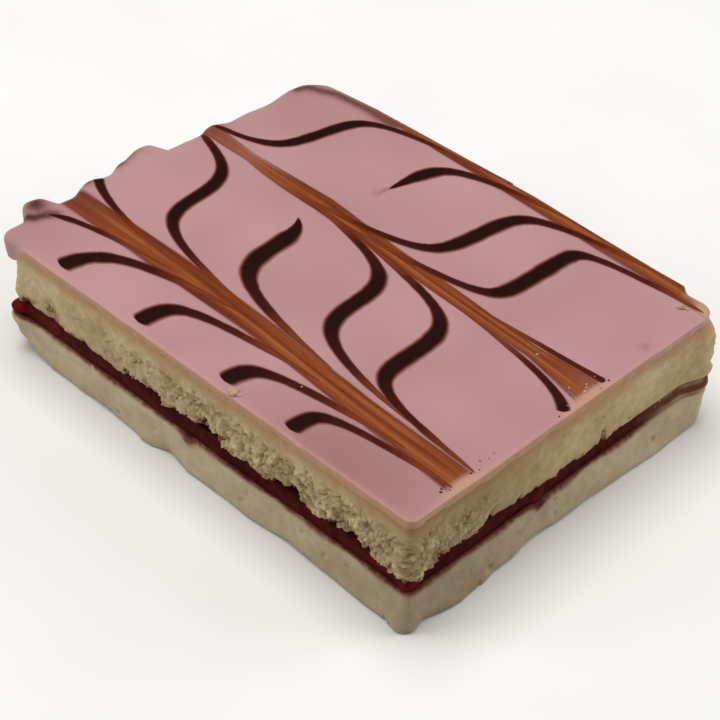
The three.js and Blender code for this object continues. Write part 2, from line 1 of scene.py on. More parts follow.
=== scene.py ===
# %% [markdown]
# # A slice of Alexander torte
# The slice is four layers: a pale shortbread base, red jam, a crumbly shortbread top and a pink
# glaze that is feathered with chocolate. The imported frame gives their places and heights, and each
# layer is replaced here by a much finer skin. Every skin is worked out with numpy as a grid of two
# parameters, one round the slice and one up its side, because crumbs and lumps are then one
# formula for how far the side stands out, computed for all the points at once.

# %% Load the frame
import bpy
import numpy as np
from mathutils import Matrix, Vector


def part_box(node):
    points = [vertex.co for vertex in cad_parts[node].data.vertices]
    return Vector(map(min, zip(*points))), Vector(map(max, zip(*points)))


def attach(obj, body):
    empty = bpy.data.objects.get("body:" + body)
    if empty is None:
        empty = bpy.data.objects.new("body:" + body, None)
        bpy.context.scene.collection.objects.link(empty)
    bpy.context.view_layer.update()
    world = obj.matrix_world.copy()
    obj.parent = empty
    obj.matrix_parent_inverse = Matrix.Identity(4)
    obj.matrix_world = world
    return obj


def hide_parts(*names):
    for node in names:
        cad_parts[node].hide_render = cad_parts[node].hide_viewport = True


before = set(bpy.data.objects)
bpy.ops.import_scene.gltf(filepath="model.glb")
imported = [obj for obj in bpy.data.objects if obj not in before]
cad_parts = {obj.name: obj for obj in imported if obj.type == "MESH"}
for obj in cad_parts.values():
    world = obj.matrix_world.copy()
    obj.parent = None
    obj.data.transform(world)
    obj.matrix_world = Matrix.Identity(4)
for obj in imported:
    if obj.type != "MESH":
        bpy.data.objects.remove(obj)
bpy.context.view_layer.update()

# %% [markdown]
# The shapes below are worked out in millimetres, which suits a slice of cake, and turned into
# metres only when a mesh is made. The layers' heights come from the frame. The outline, a
# rectangle with rounded corners, is the one that the solids were made from.

# %% Sizes in millimetres
MM = 0.001


def top_of(node):
    """The height of a frame node's highest corner, in millimetres."""
    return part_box(node)[1].z / MM


LENGTH = 80.0
WIDTH = 61.0
CORNER_RADII = (3.0, 3.2, 2.2, 1.6)  # anticlockwise: right, back, left, near
BASE_TOP = top_of("base_biscuit")
JAM_TOP = top_of("jam")
BISCUIT_TOP = top_of("top_biscuit")
GLAZE_THICKNESS = 1.4
GLAZE_TOP = BISCUIT_TOP + GLAZE_THICKNESS
print("layer tops:", round(BASE_TOP, 2), round(JAM_TOP, 2), round(BISCUIT_TOP, 2), round(GLAZE_TOP, 2))

# %% [markdown]
# The camera comes first, so that every step can be looked at from where the photo was taken. It
# could be placed by eye, but four corners of the slice fix it: its place, turn and focal length
# were fitted to them. The three axes are worked out from yaw, pitch and roll, and a matrix made of
# them turns the camera.

# %% The camera
CAMERA_PLACE = np.array([167.1, -173.1, 207.3])
CAMERA_YAW = np.radians(133.81)
CAMERA_PITCH = np.radians(40.26)
CAMERA_ROLL = np.radians(1.74)
FOCAL_PIXELS = 2175.9
IMAGE_PIXELS = 720


def camera_axes(yaw, pitch, roll):
    """Rightward, upward and backward axes: yaw turns from +X, pitch looks down, roll tips the picture."""
    forward = np.array([np.cos(yaw) * np.cos(pitch), np.sin(yaw) * np.cos(pitch), -np.sin(pitch)])
    level = np.array([np.sin(yaw), -np.cos(yaw), 0.0])
    upright = np.cross(level, forward)
    right = np.cos(roll) * level + np.sin(roll) * upright
    up = np.cos(roll) * upright - np.sin(roll) * level
    return right, up, -forward


lens = bpy.data.cameras.new("photo_camera")
lens.sensor_width = 36.0
lens.lens = lens.sensor_width * FOCAL_PIXELS / IMAGE_PIXELS
lens.clip_start = 0.01
lens.clip_end = 20.0
camera = bpy.data.objects.new("photo_camera", lens)
bpy.context.scene.collection.objects.link(camera)
turn = Matrix(np.column_stack(camera_axes(CAMERA_YAW, CAMERA_PITCH, CAMERA_ROLL)).tolist()).to_4x4()
camera.matrix_world = Matrix.Translation(CAMERA_PLACE * MM) @ turn
bpy.context.scene.camera = camera
print("lens:", round(lens.lens, 1), "mm")

# %% [markdown]
# The light is that of a dim kitchen worktop: one broad soft light from above and the left, a
# weaker one from the right, and a faint grey all round. Nothing bright stands behind the slice,
# where the glaze would mirror it, because chocolate then turns grey. The floor is a plain pale
# sheet.

# %% Light and floor
def soft_light(name, place, size, power):
    """A square area light that looks at the slice. Place and size are in metres, power in watts."""
    data = bpy.data.lights.new(name, "AREA")
    data.size = size
    data.energy = power
    light = bpy.data.objects.new(name, data)
    bpy.context.scene.collection.objects.link(light)
    light.location = place
    light.rotation_euler = (-light.location).to_track_quat("-Z", "Y").to_euler()


soft_light("overhead_light", (-0.12, 0.0, 0.75), 0.55, 5.0)
soft_light("left_light", (-0.55, -0.55, 0.45), 0.45, 2.0)
soft_light("right_light", (0.42, 0.56, 0.42), 0.45, 2.1)

world = bpy.data.worlds.new("room")
world.use_nodes = True
room = world.node_tree.nodes["Background"]
room.inputs["Color"].default_value = (1.0, 0.98, 0.95, 1.0)
room.inputs["Strength"].default_value = 0.17
bpy.context.scene.world = world
bpy.context.scene.view_settings.view_transform = "Standard"

# %% [markdown]
# A few helpers do all the bookkeeping of materials. One puts a node into a material and fills its
# sockets, with a number, a colour or another node's output; one makes a colour ramp; and one turns
# the colours that an image program shows into the linear numbers that a shader wants.

# %% Helpers for materials
def linear(red, green, blue):
    """A screen colour, 0 to 255, in a shader's linear numbers: the sRGB curve, which is the share of
    255 divided by 12.92 where it is dark, and elsewhere ((share + 0.055) / 1.055) ** 2.4."""
    share = np.array([red, green, blue]) / 255
    return tuple(np.where(share <= 0.04045, share / 12.92, ((share + 0.055) / 1.055) ** 2.4)) + (1.0,)


def fill(tree, node, sockets):
    """Fills a node's inputs. sockets maps an input's name or number to a value or an output."""
    for key, value in sockets.items():
        if isinstance(value, bpy.types.NodeSocket):
            tree.links.new(value, node.inputs[key])
        else:
            node.inputs[key].default_value = value


def add(tree, kind, sockets, **settings):
    """Puts a node in a tree, with its settings and its inputs."""
    node = tree.nodes.new(kind)
    for key, value in settings.items():
        setattr(node, key, value)
    fill(tree, node, sockets)
    return node


def ramp(tree, factor, stops):
    """A colour ramp: stops is a list of (place from 0 to 1, colour)."""
    node = add(tree, "ShaderNodeValToRGB", {"Fac": factor})
    elements = node.color_ramp.elements
    while len(elements) < len(stops):
        elements.new(0.5)
    for element, (place, colour) in zip(elements, stops):
        element.position = place
        element.color = colour
    return node.outputs["Color"]


MIX_COLOUR_INPUTS = (0, 6, 7)  # a Mix node's sockets share their names, so these are their numbers
MIX_COLOUR_OUTPUT = 2


def blend(tree, factor, first, second):
    """first where the factor is 0, second where it is 1."""
    sockets = dict(zip(MIX_COLOUR_INPUTS, (factor, first, second)))
    return add(tree, "ShaderNodeMix", sockets, data_type="RGBA").outputs[MIX_COLOUR_OUTPUT]


def between(tree, value, low, high, out_low=0.0, out_high=1.0):
    """A value carried smoothly from one range to another, and held at its ends."""
    sockets = {0: value, 1: low, 2: high, 3: out_low, 4: out_high}
    node = add(tree, "ShaderNodeMapRange", sockets, interpolation_type="SMOOTHSTEP")
    return node.outputs["Result"]


def calculate(tree, operation, first, second=0.0, third=0.0):
    """One step of arithmetic on two or three numbers."""
    return add(tree, "ShaderNodeMath", {0: first, 1: second, 2: third}, operation=operation).outputs[0]


def millimetres(tree):
    """The point that is shaded, in millimetres from the origin."""
    place = add(tree, "ShaderNodeTexCoord", {}).outputs["Object"]
    return add(tree, "ShaderNodeVectorMath", {0: place, "Scale": 1 / MM}, operation="SCALE").outputs[0]


def noise(tree, place, cell, detail=3.0, roughness=0.55):
    """Soft noise from 0 to 1 whose patches are about cell millimetres across."""
    sockets = {"Vector": place, "Scale": 1 / cell, "Detail": detail, "Roughness": roughness}
    return add(tree, "ShaderNodeTexNoise", sockets).outputs["Fac"]


def attribute(tree, name):
    """A number that the mesh carries at each of its points."""
    return add(tree, "ShaderNodeAttribute", {}, attribute_name=name).outputs["Fac"]


def bump(tree, height, depth, before=None):
    """A bump of a given depth in millimetres, on top of another one."""
    sockets = {"Height": height, "Distance": depth * MM, "Strength": 1.0}
    if before is not None:
        sockets["Normal"] = before
    return add(tree, "ShaderNodeBump", sockets).outputs["Normal"]


def finish(name):
    """A new material: its node tree and its Principled shader."""
    material = bpy.data.materials.new(name)
    material.use_nodes = True
    tree = material.node_tree
    return material, tree, tree.nodes["Principled BSDF"]


# %% The floor
def floor_finish():
    """Pale matte board, very slightly mottled."""
    material, tree, shader = finish("pale_board")
    mottle = noise(tree, millimetres(tree), 40.0)
    colour = ramp(tree, mottle, [(0.3, linear(232, 231, 228)), (0.7, linear(236, 235, 232))])
    fill(tree, shader, {"Base Color": colour, "Roughness": 0.8})
    return material


FLOOR_HALF = 3.0
floor_mesh = bpy.data.meshes.new("floor")
corners = [(x * FLOOR_HALF, y * FLOOR_HALF, 0.0) for x, y in ((-1, -1), (1, -1), (1, 1), (-1, 1))]
floor_mesh.from_pydata(corners, [], [(0, 1, 2, 3)])
floor_mesh.materials.append(floor_finish())
floor = bpy.data.objects.new("floor", floor_mesh)
bpy.context.scene.collection.objects.link(floor)

# %% [markdown]
# Uneven surfaces need noise that is the same on every run. A lattice point's three whole numbers
# are scrambled into one number between 0 and 1, which needs no table and no random generator.
# Between lattice points the value is eased from one to the next. The first helper is the one that
# shaped the solids, so the fine skins bulge where the solids do.

# %% Seeded noise
WORD = 0xFFFFFFFF
SCRAMBLERS = (374761393, 668265263, 974711, 1274126177)  # large odd numbers for i, j, k and the seed
STIRRER = 1103515245


def lattice_value(i, j, k, seed):
    """A number from 0 to 1 for each lattice point: multiply, add and fold the bits of i, j and k."""
    by_i, by_j, by_k, by_seed = SCRAMBLERS
    h = (i * by_i + j * by_j + k * by_k + seed * by_seed) & WORD
    h = ((h ^ (h >> 13)) * STIRRER) & WORD
    return (h ^ (h >> 16)) / (WORD + 1)


def eased(t):
    """t * t * (3 - 2 t): runs from 0 to 1 with a level start and end."""
    return t * t * (3 - 2 * t)


def step(value, low, high):
    """0 below low, 1 above high, eased between."""
    return eased(np.clip((value - low) / (high - low), 0, 1))


def relief(along, up, around, seed):
    """Noise from -1 to 1 on a band that closes on itself after `around` cells along."""
    i = np.floor(along).astype(np.int64)
    j = np.floor(up).astype(np.int64)
    a = eased(along - i)
    b = eased(up - j)
    low = lattice_value(i % around, j, 0, seed) * (1 - a) + lattice_value((i + 1) % around, j, 0, seed) * a
    high = lattice_value(i % around, j + 1, 0, seed) * (1 - a)
    high = high + lattice_value((i + 1) % around, j + 1, 0, seed) * a
    return 2 * (low * (1 - b) + high * b) - 1


def lumps(points, cell, seed):
    """Noise from -1 to 1 in space: the eight corners of each cell, eased between."""
    place = points / cell
    corner = np.floor(place).astype(np.int64)
    t = eased(place - corner)
    total = np.zeros(points.shape[:-1])
    for dx, dy, dz in np.ndindex(2, 2, 2):
        value = lattice_value(corner[..., 0] + dx, corner[..., 1] + dy, corner[..., 2] + dz, seed)
        share = np.abs(1 - dx - t[..., 0]) * np.abs(1 - dy - t[..., 1]) * np.abs(1 - dz - t[..., 2])
        total += value * share
    return 2 * total - 1


def crumb_cells(points, cell, seed):
    """Splits space into crumbs. For each point: the distance to the nearest crumb's middle, how much
    further the second nearest is, the nearest crumb's own number from 0 to 1, and its facet's tilt,
    which is how far the point lies along the crumb's own random direction."""
    place = points / cell
    corner = np.floor(place).astype(np.int64)
    nearest = np.full(points.shape[:-1], 9.0)
    second = nearest.copy()
    owner = np.zeros(points.shape[:-1])
    tilt = owner.copy()
    for offset in np.ndindex(3, 3, 3):
        cell_at = corner + np.array(offset) - 1
        i, j, k = cell_at[..., 0], cell_at[..., 1], cell_at[..., 2]
        middle = np.stack([lattice_value(i, j, k, seed + axis) for axis in range(3)], axis=-1)
        direction = np.stack([lattice_value(i, j, k, seed + 4 + axis) for axis in range(3)], axis=-1)
        apart = place - cell_at - middle
        distance = np.linalg.norm(apart, axis=-1)
        closer = distance < nearest
        second = np.where(closer, nearest, np.minimum(second, distance))
        owner = np.where(closer, lattice_value(i, j, k, seed + 3), owner)
        tilt = np.where(closer, (apart * (2 * direction - 1)).sum(axis=-1), tilt)
        nearest = np.where(closer, distance, nearest)
    return nearest, second - nearest, owner, tilt


# %% [markdown]
# The outline is a rectangle with rounded corners. A simple way to walk round it is to split it in
# two: a smaller rectangle that the corner's centre follows, and the direction in which the side
# faces. Both are straight-line functions of the distance walked, so np.interp gives every point of
# the outline and its outward normal. The corners were cut and handled differently, so each has its
# own radius.

# %% The slice's outline
def outline(count):
    """count places round the slice, anticlockwise from the middle of +X: point, normal, distance.
    point = the corner's centre + its radius * the direction that the side faces."""
    right, back, left, near = CORNER_RADII
    radius = np.array([right, right, right, back, back, left, left, near, near, near])
    inner_x = np.array([1, 1, 1, -1, -1, -1, -1, 1, 1, 1]) * (LENGTH / 2 - radius)
    inner_y = np.array([0, 1, 1, 1, 1, -1, -1, -1, -1, 0]) * (WIDTH / 2 - radius)
    turned = np.radians([0, 0, 90, 90, 180, 180, 270, 270, 360, 360])
    outer_x = inner_x + radius * np.cos(turned)
    outer_y = inner_y + radius * np.sin(turned)
    straight = np.hypot(np.diff(outer_x), np.diff(outer_y))
    legs = np.where(np.diff(turned) > 0, radius[1:] * np.diff(turned), straight)
    walked = np.concatenate([[0], np.cumsum(legs)])
    along = np.arange(count) / count * walked[-1]
    angle = np.interp(along, walked, turned)
    normal = np.stack([np.cos(angle), np.sin(angle)], axis=-1)
    inner = np.stack([np.interp(along, walked, inner_x), np.interp(along, walked, inner_y)], axis=-1)
    return inner + np.interp(along, walked, radius)[:, None] * normal, normal, along


PERIMETER = 2 * (LENGTH + WIDTH) - (2 - np.pi / 2) * sum(CORNER_RADII)
print("round the slice:", round(PERIMETER, 1), "mm")


def bulges_at(bulges, point, z):
    """The sum of local bulges and bites, each out * exp(-(distance / wide)^2 - ((z - its z) / tall)^2)."""
    total = np.zeros(np.broadcast(point[..., 0], z).shape)
    for x, y, height, out, wide, tall in bulges:
        across = np.hypot(point[..., 0] - x, point[..., 1] - y) / wide
        total += out * np.exp(-across**2 - ((z - height) / tall) ** 2)
    return total


def on_front(rows):
    """Puts the long near side's y into rows that start with x."""
    return [(x, -WIDTH / 2, *rest) for x, *rest in rows]


def on_right(rows):
    """Puts the short right side's x into rows that start with y."""
    return [(LENGTH / 2, *row) for row in rows]


def spots_at(spots, points):
    """How strong some spots are at each point: the sum of strength * exp(-(dx / a)^2 - (dy / b)^2)."""
    total = np.zeros(points.shape[:-1])
    for x, y, half_x, half_y, strength in spots:
        away = ((points[..., 0] - x) / half_x) ** 2 + ((points[..., 1] - y) / half_y) ** 2
        total += strength * np.exp(-away)
    return np.clip(total, 0, 1)


def to_wall(points):
    """How far points lie inside the slice's straight sides."""
    return np.minimum(LENGTH / 2 - np.abs(points[..., 0]), WIDTH / 2 - np.abs(points[..., 1]))


def right_corner(points, x_range, y_range):
    """0 away from the right corner, rising to 1 beside it over a range of x and a range of y."""
    return step(points[..., 0], *x_range) * step(points[..., 1], *y_range)


FRONT = np.array([0, -1])
RIGHT = np.array([1, 0])
BACK = np.array([0, 1])
SHEET_EDGE = np.array([-1, 0])


def facing(normal, side):
    """1 where the wall faces a side squarely, falling to 0 round its corners: (normal . side)^2."""
    return np.clip(normal @ side, 0, None) ** 2


# %% [markdown]
# Every layer's skin is built the same way. Rows of points run round the slice: from the middle of
# the underside out to the wall, up the wall, and over the top back to the middle. Quads join
# neighbouring rows, and a fan of triangles closes each middle, so the mesh is watertight. A
# bmesh loop would do it too, but whole arrays are faster and shorter.

# %% Skins from rows of points
def closed_skin(rows):
    """Vertices, quads and triangles of a closed skin: rows is (rows, columns, 3), and each end row
    is closed by a fan of triangles to its own middle."""
    count_rows, count, _ = rows.shape
    points = np.concatenate([rows.reshape(-1, 3), rows[:1].mean(axis=1), rows[-1:].mean(axis=1)])
    row, column = np.meshgrid(np.arange(count_rows - 1), np.arange(count), indexing="ij")
    a = row * count + column
    b = row * count + (column + 1) % count
    quads = np.stack([a, b, b + count, a + count], axis=-1).reshape(-1, 4)
    here = np.arange(count)
    following = (here + 1) % count
    first = np.full(count, count_rows * count)
    last_row = (count_rows - 1) * count
    start_fan = np.stack([first, following, here], axis=-1)
    end_fan = np.stack([first + 1, last_row + here, last_row + following], axis=-1)
    return points, quads, np.concatenate([start_fan, end_fan])


def cap_rows(edge, shares, height):
    """Rows of a flat cap: the edge row shrunk towards the middle, times each of the shares."""
    rows = edge[None, :, :] * shares[:, None, None]
    rows[..., 2] = height
    return rows


def piece(name, points, face_sets, material, carried, replaced=(), smooth=True):
    """A mesh from arrays of points in millimetres and faces, set on the frame's only body.
    carried maps an attribute's name to its value at each point."""
    mesh = bpy.data.meshes.new(name)
    faces = [face for faces in face_sets for face in np.asarray(faces).tolist()]
    mesh.from_pydata((points * MM).tolist(), [], faces)
    for key, values in carried.items():
        layer = mesh.attributes.new(key, "FLOAT", "POINT")
        layer.data.foreach_set("value", np.asarray(values, np.float32).ravel())
    mesh.polygons.foreach_set("use_smooth", np.full(len(mesh.polygons), smooth))
    mesh.materials.append(material)
    mesh.update()
    made = bpy.data.objects.new(name, mesh)
    bpy.context.scene.collection.objects.link(made)
    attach(made, "root")
    if replaced:
        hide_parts(*replaced)
    triangles = sum(len(face) - 2 for face in faces)
    print(f"{name}: {len(points)} points, {triangles} triangles")


# %% [markdown]
# ## The base
# The lower shortbread was pressed into the tin, so its cut side is dense, pale and fairly smooth,
# with a few pores. Its lower rim spread a little and is wavy. The wall's row heights and offsets
# follow the solid's, with finer lumps on top: a lump formula is easier to keep inside the solid's
# box than sculpting would be.

# %% The base's side
FRONT_RIM = (  # how far the lower rim stands out at each x of the long near side
    (-40, -2.0), (-35.6, -0.6), (-31.5, 0.1), (-25, -0.05), (-20.2, -0.35), (-16.8, 0), (-13.8, 0.2),
    (-11.2, 0.8), (-9.4, 0.7), (-7.9, 0.2), (-6.4, -0.45), (-4, 0.0), (-1.8, 0.5), (1, 0.3), (5.4, 0.25),
    (10.6, 0.55), (13.4, 0.4), (15.2, 0.2), (17.6, -0.25), (20, 0.0), (24.2, 0.25), (28.4, 0.45),
    (32.8, 0.7), (35.6, 0.6), (38, 0.9), (40, 1.5),
)
RIGHT_RIM = (  # the same at each y of the short right side
    (-30.5, 0.9), (-29.4, 0.7), (-28.2, 0.0), (-27.2, 0.0), (-26.3, 0.3), (-24.8, 0.8), (-23.2, 1.25),
    (-21.5, 1.45), (-19.2, 1.2), (-17.2, 1.15), (-15.9, 0.85), (-14.5, 0.5), (-10.6, 0.5), (-7.9, -0.1),
    (-5.6, -0.3), (-3.7, -0.1), (-2, 0.3), (0, 0.4), (3, 0.3), (6, 0.3), (8.6, 0.5), (14.4, 0.75),
    (19.2, 0.8), (24.3, 0.6), (26.7, 0.45), (30.2, 0.3),
)
RIM_HEIGHT = 1.9
BASE_CORNERS = [  # x, y, z, out, wide, tall
    (39.4, 29.6, 4.0, 0.75, 4.0, 3.6), (39.4, 29.6, 6.3, 0.7, 3.6, 1.2), (-39.5, -30, 6.0, 1.2, 2.8, 1.5),
]
BASE_DENTS = on_front([  # x, z, out, wide, tall
    (-15, 3.4, -0.15, 1.5, 1.0), (14, 2.2, -0.25, 1.6, 1.1), (10.6, 4.0, -0.2, 1.1, 0.9),
    (24, 3.2, -0.15, 1.4, 1.0), (33, 3.4, -0.15, 1.2, 0.8), (-11, 2.0, -0.2, 1.2, 0.8),
]) + on_right([(-15.2, 1.4, -0.6, 0.5, 0.5)])
BASE_WALL = np.array([  # height, offset outwards, share of the relief
    (0.0, -0.6, 0.2), (0.12, -0.2, 0.3), (0.35, 0.0, 0.35), (0.8, 0.12, 0.5), (1.5, 0.2, 0.7),
    (3.0, 0.2, 0.9), (4.6, 0.12, 0.9), (5.8, 0.05, 0.7), (6.15, -0.05, 0.6), (BASE_TOP, -0.35, 0.4),
])


def rim_flare(flat, normal, z):
    """How far the lower rim stands out: the measured rims of the two near sides, faded with height
    by exp(-(z / rim height)^2) and by how squarely the side faces -Y or +X."""
    front = facing(normal, FRONT) * np.interp(flat[..., 0], *np.transpose(FRONT_RIM))
    right = facing(normal, RIGHT) * np.interp(flat[..., 1], *np.transpose(RIGHT_RIM))
    return (front + right) * np.exp(-((z / RIM_HEIGHT) ** 2))


def wall_places(heights, columns):
    """A layer's wall before it is moved out, row r at heights[r]: point, normal, distance, height."""
    point, normal, along = outline(columns)
    shape = (len(heights), columns)
    flat = np.broadcast_to(point, shape + (2,))
    z = np.broadcast_to(heights[:, None], shape)
    return flat, np.broadcast_to(normal, flat.shape), np.broadcast_to(along, shape), z


def wall_rows(heights, columns, offset_at):
    """The wall of a layer: each point + its offset * its normal."""
    flat, normal, along, z = wall_places(heights, columns)
    out = offset_at(flat, normal, along, z)
    return np.concatenate([flat + normal * out[..., None], z[..., None]], axis=-1)


def in_space(flat, z):
    """Points of the outline and heights as one array of places."""
    return np.concatenate([flat, np.broadcast_to(z, flat.shape[:-1])[..., None]], axis=-1)


def waves(along, z, cell, tall, depth, seed):
    """Relief on a wall that closes on itself: lumps `cell` long and `tall` high."""
    return depth * relief(along / cell, z / tall, round(PERIMETER / cell), seed)


PORE_CELL = 2.6
PORE_DEPTH = 0.3
PORE_RADII = (0.08, 0.26)  # of its floor and its rim, as shares of the cell
CELLS_WITH_A_PORE = 0.4


def base_side(flat, normal, along, z):
    """Offset of the base's side: its profile, rim, bulges, and lumps of 6.6, 2.5, 1.2 and 0.5 mm."""
    places = in_space(flat, z)
    soft = waves(along, z, 6.6, 3.4, 0.3, 3) + waves(along, z, 2.5, 1.7, 0.13, 4)
    grain = 0.05 * lumps(places, 1.2, 31) + 0.025 * lumps(places, 0.5, 32)
    nearest, _, owner, _ = crumb_cells(places, PORE_CELL, 41)
    pores = PORE_DEPTH * (1 - step(nearest, *PORE_RADII)) * (owner > 1 - CELLS_WITH_A_PORE)
    standing = bulges_at(BASE_CORNERS + BASE_DENTS, flat, z) + rim_flare(flat, normal, z)
    heights, profile, share = BASE_WALL.T
    return np.interp(z, heights, profile) + standing + np.interp(z, heights, share) * (soft + grain) - pores


COLUMNS = 1480
CAP_SHARES = np.array([0.3, 0.75, 0.95])


def layer_skin(heights, offset_at, columns=COLUMNS):
    """A whole layer, closed: cap, wall, cap."""
    wall = wall_rows(heights, columns, offset_at)
    under = cap_rows(wall[0], CAP_SHARES, heights[0])
    over = cap_rows(wall[-1], CAP_SHARES[::-1], heights[-1])
    return closed_skin(np.concatenate([under, wall, over]))


ROW_STEP = 0.2
base_heights = np.arange(0.3, BASE_TOP - ROW_STEP / 2, ROW_STEP)
base_heights = np.concatenate([[0.0, 0.05, 0.15], base_heights, [BASE_TOP]])
base_points, base_quads, base_fans = layer_skin(base_heights, base_side)
print("rows up the base's wall:", len(base_heights))

# %% [markdown]
# Shortbread is matte and a little translucent. Its colour wanders between straw and ivory in
# patches as large as crumbs, the top layer turns golden right under the glaze, and near the jam it
# is stained red; in the notches and the pit that stain also stands for shade. Painted shade darkens
# the near corner and the cracks, and a painted highlight lightens the proud crumbs. The base, the
# top layer and the crumbs on the glaze are one material with different numbers, so a function makes
# it. The stain is carried by the mesh, because only the shape knows where the jam has reached.

# %% Shortbread
# the colour of the painted shade near the near corner
CORNER_SHADE_COLOUR = linear(96, 70, 42)
# painted shade in the cracks between crumbs and a painted highlight on the crumbs that stand out
CRACK_SHADE = linear(112, 84, 54)
CRUMB_HIGHLIGHT = linear(214, 196, 160)
JAM_SOAKED = [  # from hardly stained to soaked
    (0.0, linear(152, 116, 92)), (0.4, linear(120, 72, 56)),
    (0.7, linear(84, 32, 24)), (1.0, linear(54, 17, 12)),
]


def shortbread_finish(name, dark, middle, light, golden=None, grit=0.07):
    """Matte shortbread: three tones in soft patches, a golden zone given as its colour and the two
    heights between which it sets in, painted shade near the near corner, painted shade in the cracks
    and a painted highlight on the proud crumbs, and jam stains that also stand for shade in the
    notches and the pit."""
    material, tree, shader = finish(name)
    place = millimetres(tree)
    height = add(tree, "ShaderNodeSeparateXYZ", {0: place}).outputs["Z"]
    patches = noise(tree, place, 1.6)
    broad = noise(tree, place, 7.0, detail=1.0)
    tone = calculate(tree, "MULTIPLY_ADD", broad, 0.5, calculate(tree, "MULTIPLY", patches, 0.5))
    colour = ramp(tree, tone, [(0.34, dark), (0.5, middle), (0.66, light)])
    if golden:
        golden_colour, sets_in, full = golden
        wander = calculate(tree, "MULTIPLY_ADD", noise(tree, place, 3.0), 1.8, -0.9)
        level = calculate(tree, "ADD", height, wander)
        colour = blend(tree, between(tree, level, sets_in, full), colour, golden_colour)
    # painted shade near the near corner
    colour = blend(tree, attribute(tree, "painted_corner_shade"), colour, CORNER_SHADE_COLOUR)
    # painted shade in the cracks and a painted highlight on the proud crumbs
    depth = attribute(tree, "crumb_shade_and_highlight")
    colour = blend(tree, between(tree, depth, 0.05, 0.6, 0.0, 0.36), colour, CRACK_SHADE)
    colour = blend(tree, between(tree, depth, -0.05, -0.4, 0.0, 0.6), colour, CRUMB_HIGHLIGHT)
    patchy = calculate(tree, "MULTIPLY_ADD", noise(tree, place, 0.9), 1.2, 0.4)
    # jam stains, which in the notches and the pit also stand for shade
    soak_and_shade = calculate(tree, "MULTIPLY", attribute(tree, "jam_stain_and_gap_shade"), patchy)
    colour = blend(tree, between(tree, soak_and_shade, 0.0, 0.5), colour, ramp(tree, soak_and_shade, JAM_SOAKED))
    coarse = bump(tree, noise(tree, place, 0.6, detail=2.0), grit * 1.6)
    fine = bump(tree, noise(tree, place, 0.22, detail=2.0), grit, coarse)
    fill(tree, shader, {
        "Base Color": colour, "Roughness": 0.9, "Specular IOR Level": 0.2, "Normal": fine,
        "Subsurface Weight": 0.2, "Subsurface Radius": (1.0, 0.6, 0.3), "Subsurface Scale": 0.6 * MM,
    })
    return material


base_finish = shortbread_finish(
    "pale_shortbread", linear(177, 160, 129), linear(188, 171, 140), linear(197, 182, 152), grit=0.035
)


# %% The base's stains and painted shade
# painted shade near the near corner, on the base's +X and -Y sides
CORNER_SHADE_ON_BASE = [(44.0, -24.0, 16.0, 16.0, 0.42)]  # x, y, half size along x and y, share of brown
LEDGE_STAINS = on_front([(-2, 5.6, 0.5, 1.4, 0.9)]) + on_right([(-5.2, 5.6, 0.5, 1.1, 0.9)])
SMEAR_DEPTH = 0.8
LEDGE_WIDTH = 1.0  # points further in than this lie under the jam and are soaked through


def smear_down(points, edge, depth):
    """Jam smear below an edge: 1 at the edge, fading over a depth that wanders along the side."""
    wander = 1 + 0.5 * lumps(points * np.array([1, 1, 0]), 5.0, 51) + 0.3 * lumps(points, 1.6, 52)
    return np.clip(1 - (edge - points[..., 2]) / (depth * np.clip(wander, 0.4, 2)), 0, 1)


under_jam = (base_points[:, 2] > BASE_TOP - 0.01) & (to_wall(base_points) > LEDGE_WIDTH)
smear = 0.5 * (1 - 0.8 * right_corner(base_points, (34, 38), (12, 26)))
base_stain = np.where(under_jam, 1.0, smear * smear_down(base_points, BASE_TOP, SMEAR_DEPTH) ** 1.3)
base_stain += bulges_at(LEDGE_STAINS, base_points[:, :2], base_points[:, 2])
piece(
    "shortbread_base", base_points, [base_quads, base_fans], base_finish,
    replaced=["base_biscuit"],
    carried={
        "jam_stain_and_gap_shade": base_stain, "crumb_shade_and_highlight": 0 * base_stain, "painted_corner_shade": spots_at(CORNER_SHADE_ON_BASE, base_points),
    },
)

# %% [markdown]
# ## The jam
# Jam shows as a dark, wet band between the layers. It is squeezed out in soft lumps, more at the
# corners, and shrinks back under the upper layer elsewhere. The skin is made like the base's, and
# the look comes from a deep red that is nearly black where the jam is thick, under a soft, weak
# gloss.

# %% The jam
JAM_BULGES = [  # x, y, z, out, wide, tall
    (-39.6, -29.8, 7.2, 2.0, 1.8, 1.1), (39.4, -29.8, 7.2, 0.6, 2.2, 1.2), (40, -5.0, 6.8, 0.5, 1.4, 0.9),
    (-8, -30.5, 7.4, 0.3, 2.4, 1.2), (18, -30.5, 7.4, 0.3, 3.0, 1.2), (39.6, 29.8, 7.4, 2.1, 3.8, 2.6),
    (40, 23, 7.6, 0.5, 5.0, 2.5),
]
JAM_WALL = np.array([  # height, offset outwards, share of the lumps
    (BASE_TOP, -0.6, 0.5), (6.85, -0.75, 1), (7.6, -0.9, 1), (8.2, -1.0, 1), (JAM_TOP, -1.2, 0.75),
])


def jam_side(flat, normal, along, z):
    """Offset of the jam's side: its profile, its bulges, and lumps of 4.4, 1.4 and 0.6 mm."""
    places = in_space(flat, z)
    soft = waves(along, z, 4.4, 2.0, 0.25, 7)
    wet = 0.14 * lumps(places, 1.4, 61) + 0.07 * lumps(places, 0.6, 62)
    heights, profile, share = JAM_WALL.T
    bulging = bulges_at(JAM_BULGES, flat, z) + soft + wet
    return np.interp(z, heights, profile) + np.interp(z, heights, share) * bulging


JAM_COLUMNS = 1000
THIN_JAM_HEIGHT = 7.7  # near the right corner only a thin line of jam shows, at this height
THIN_JAM = linear(108, 66, 48)
CRUMBS_ON_JAM = linear(184, 164, 128)
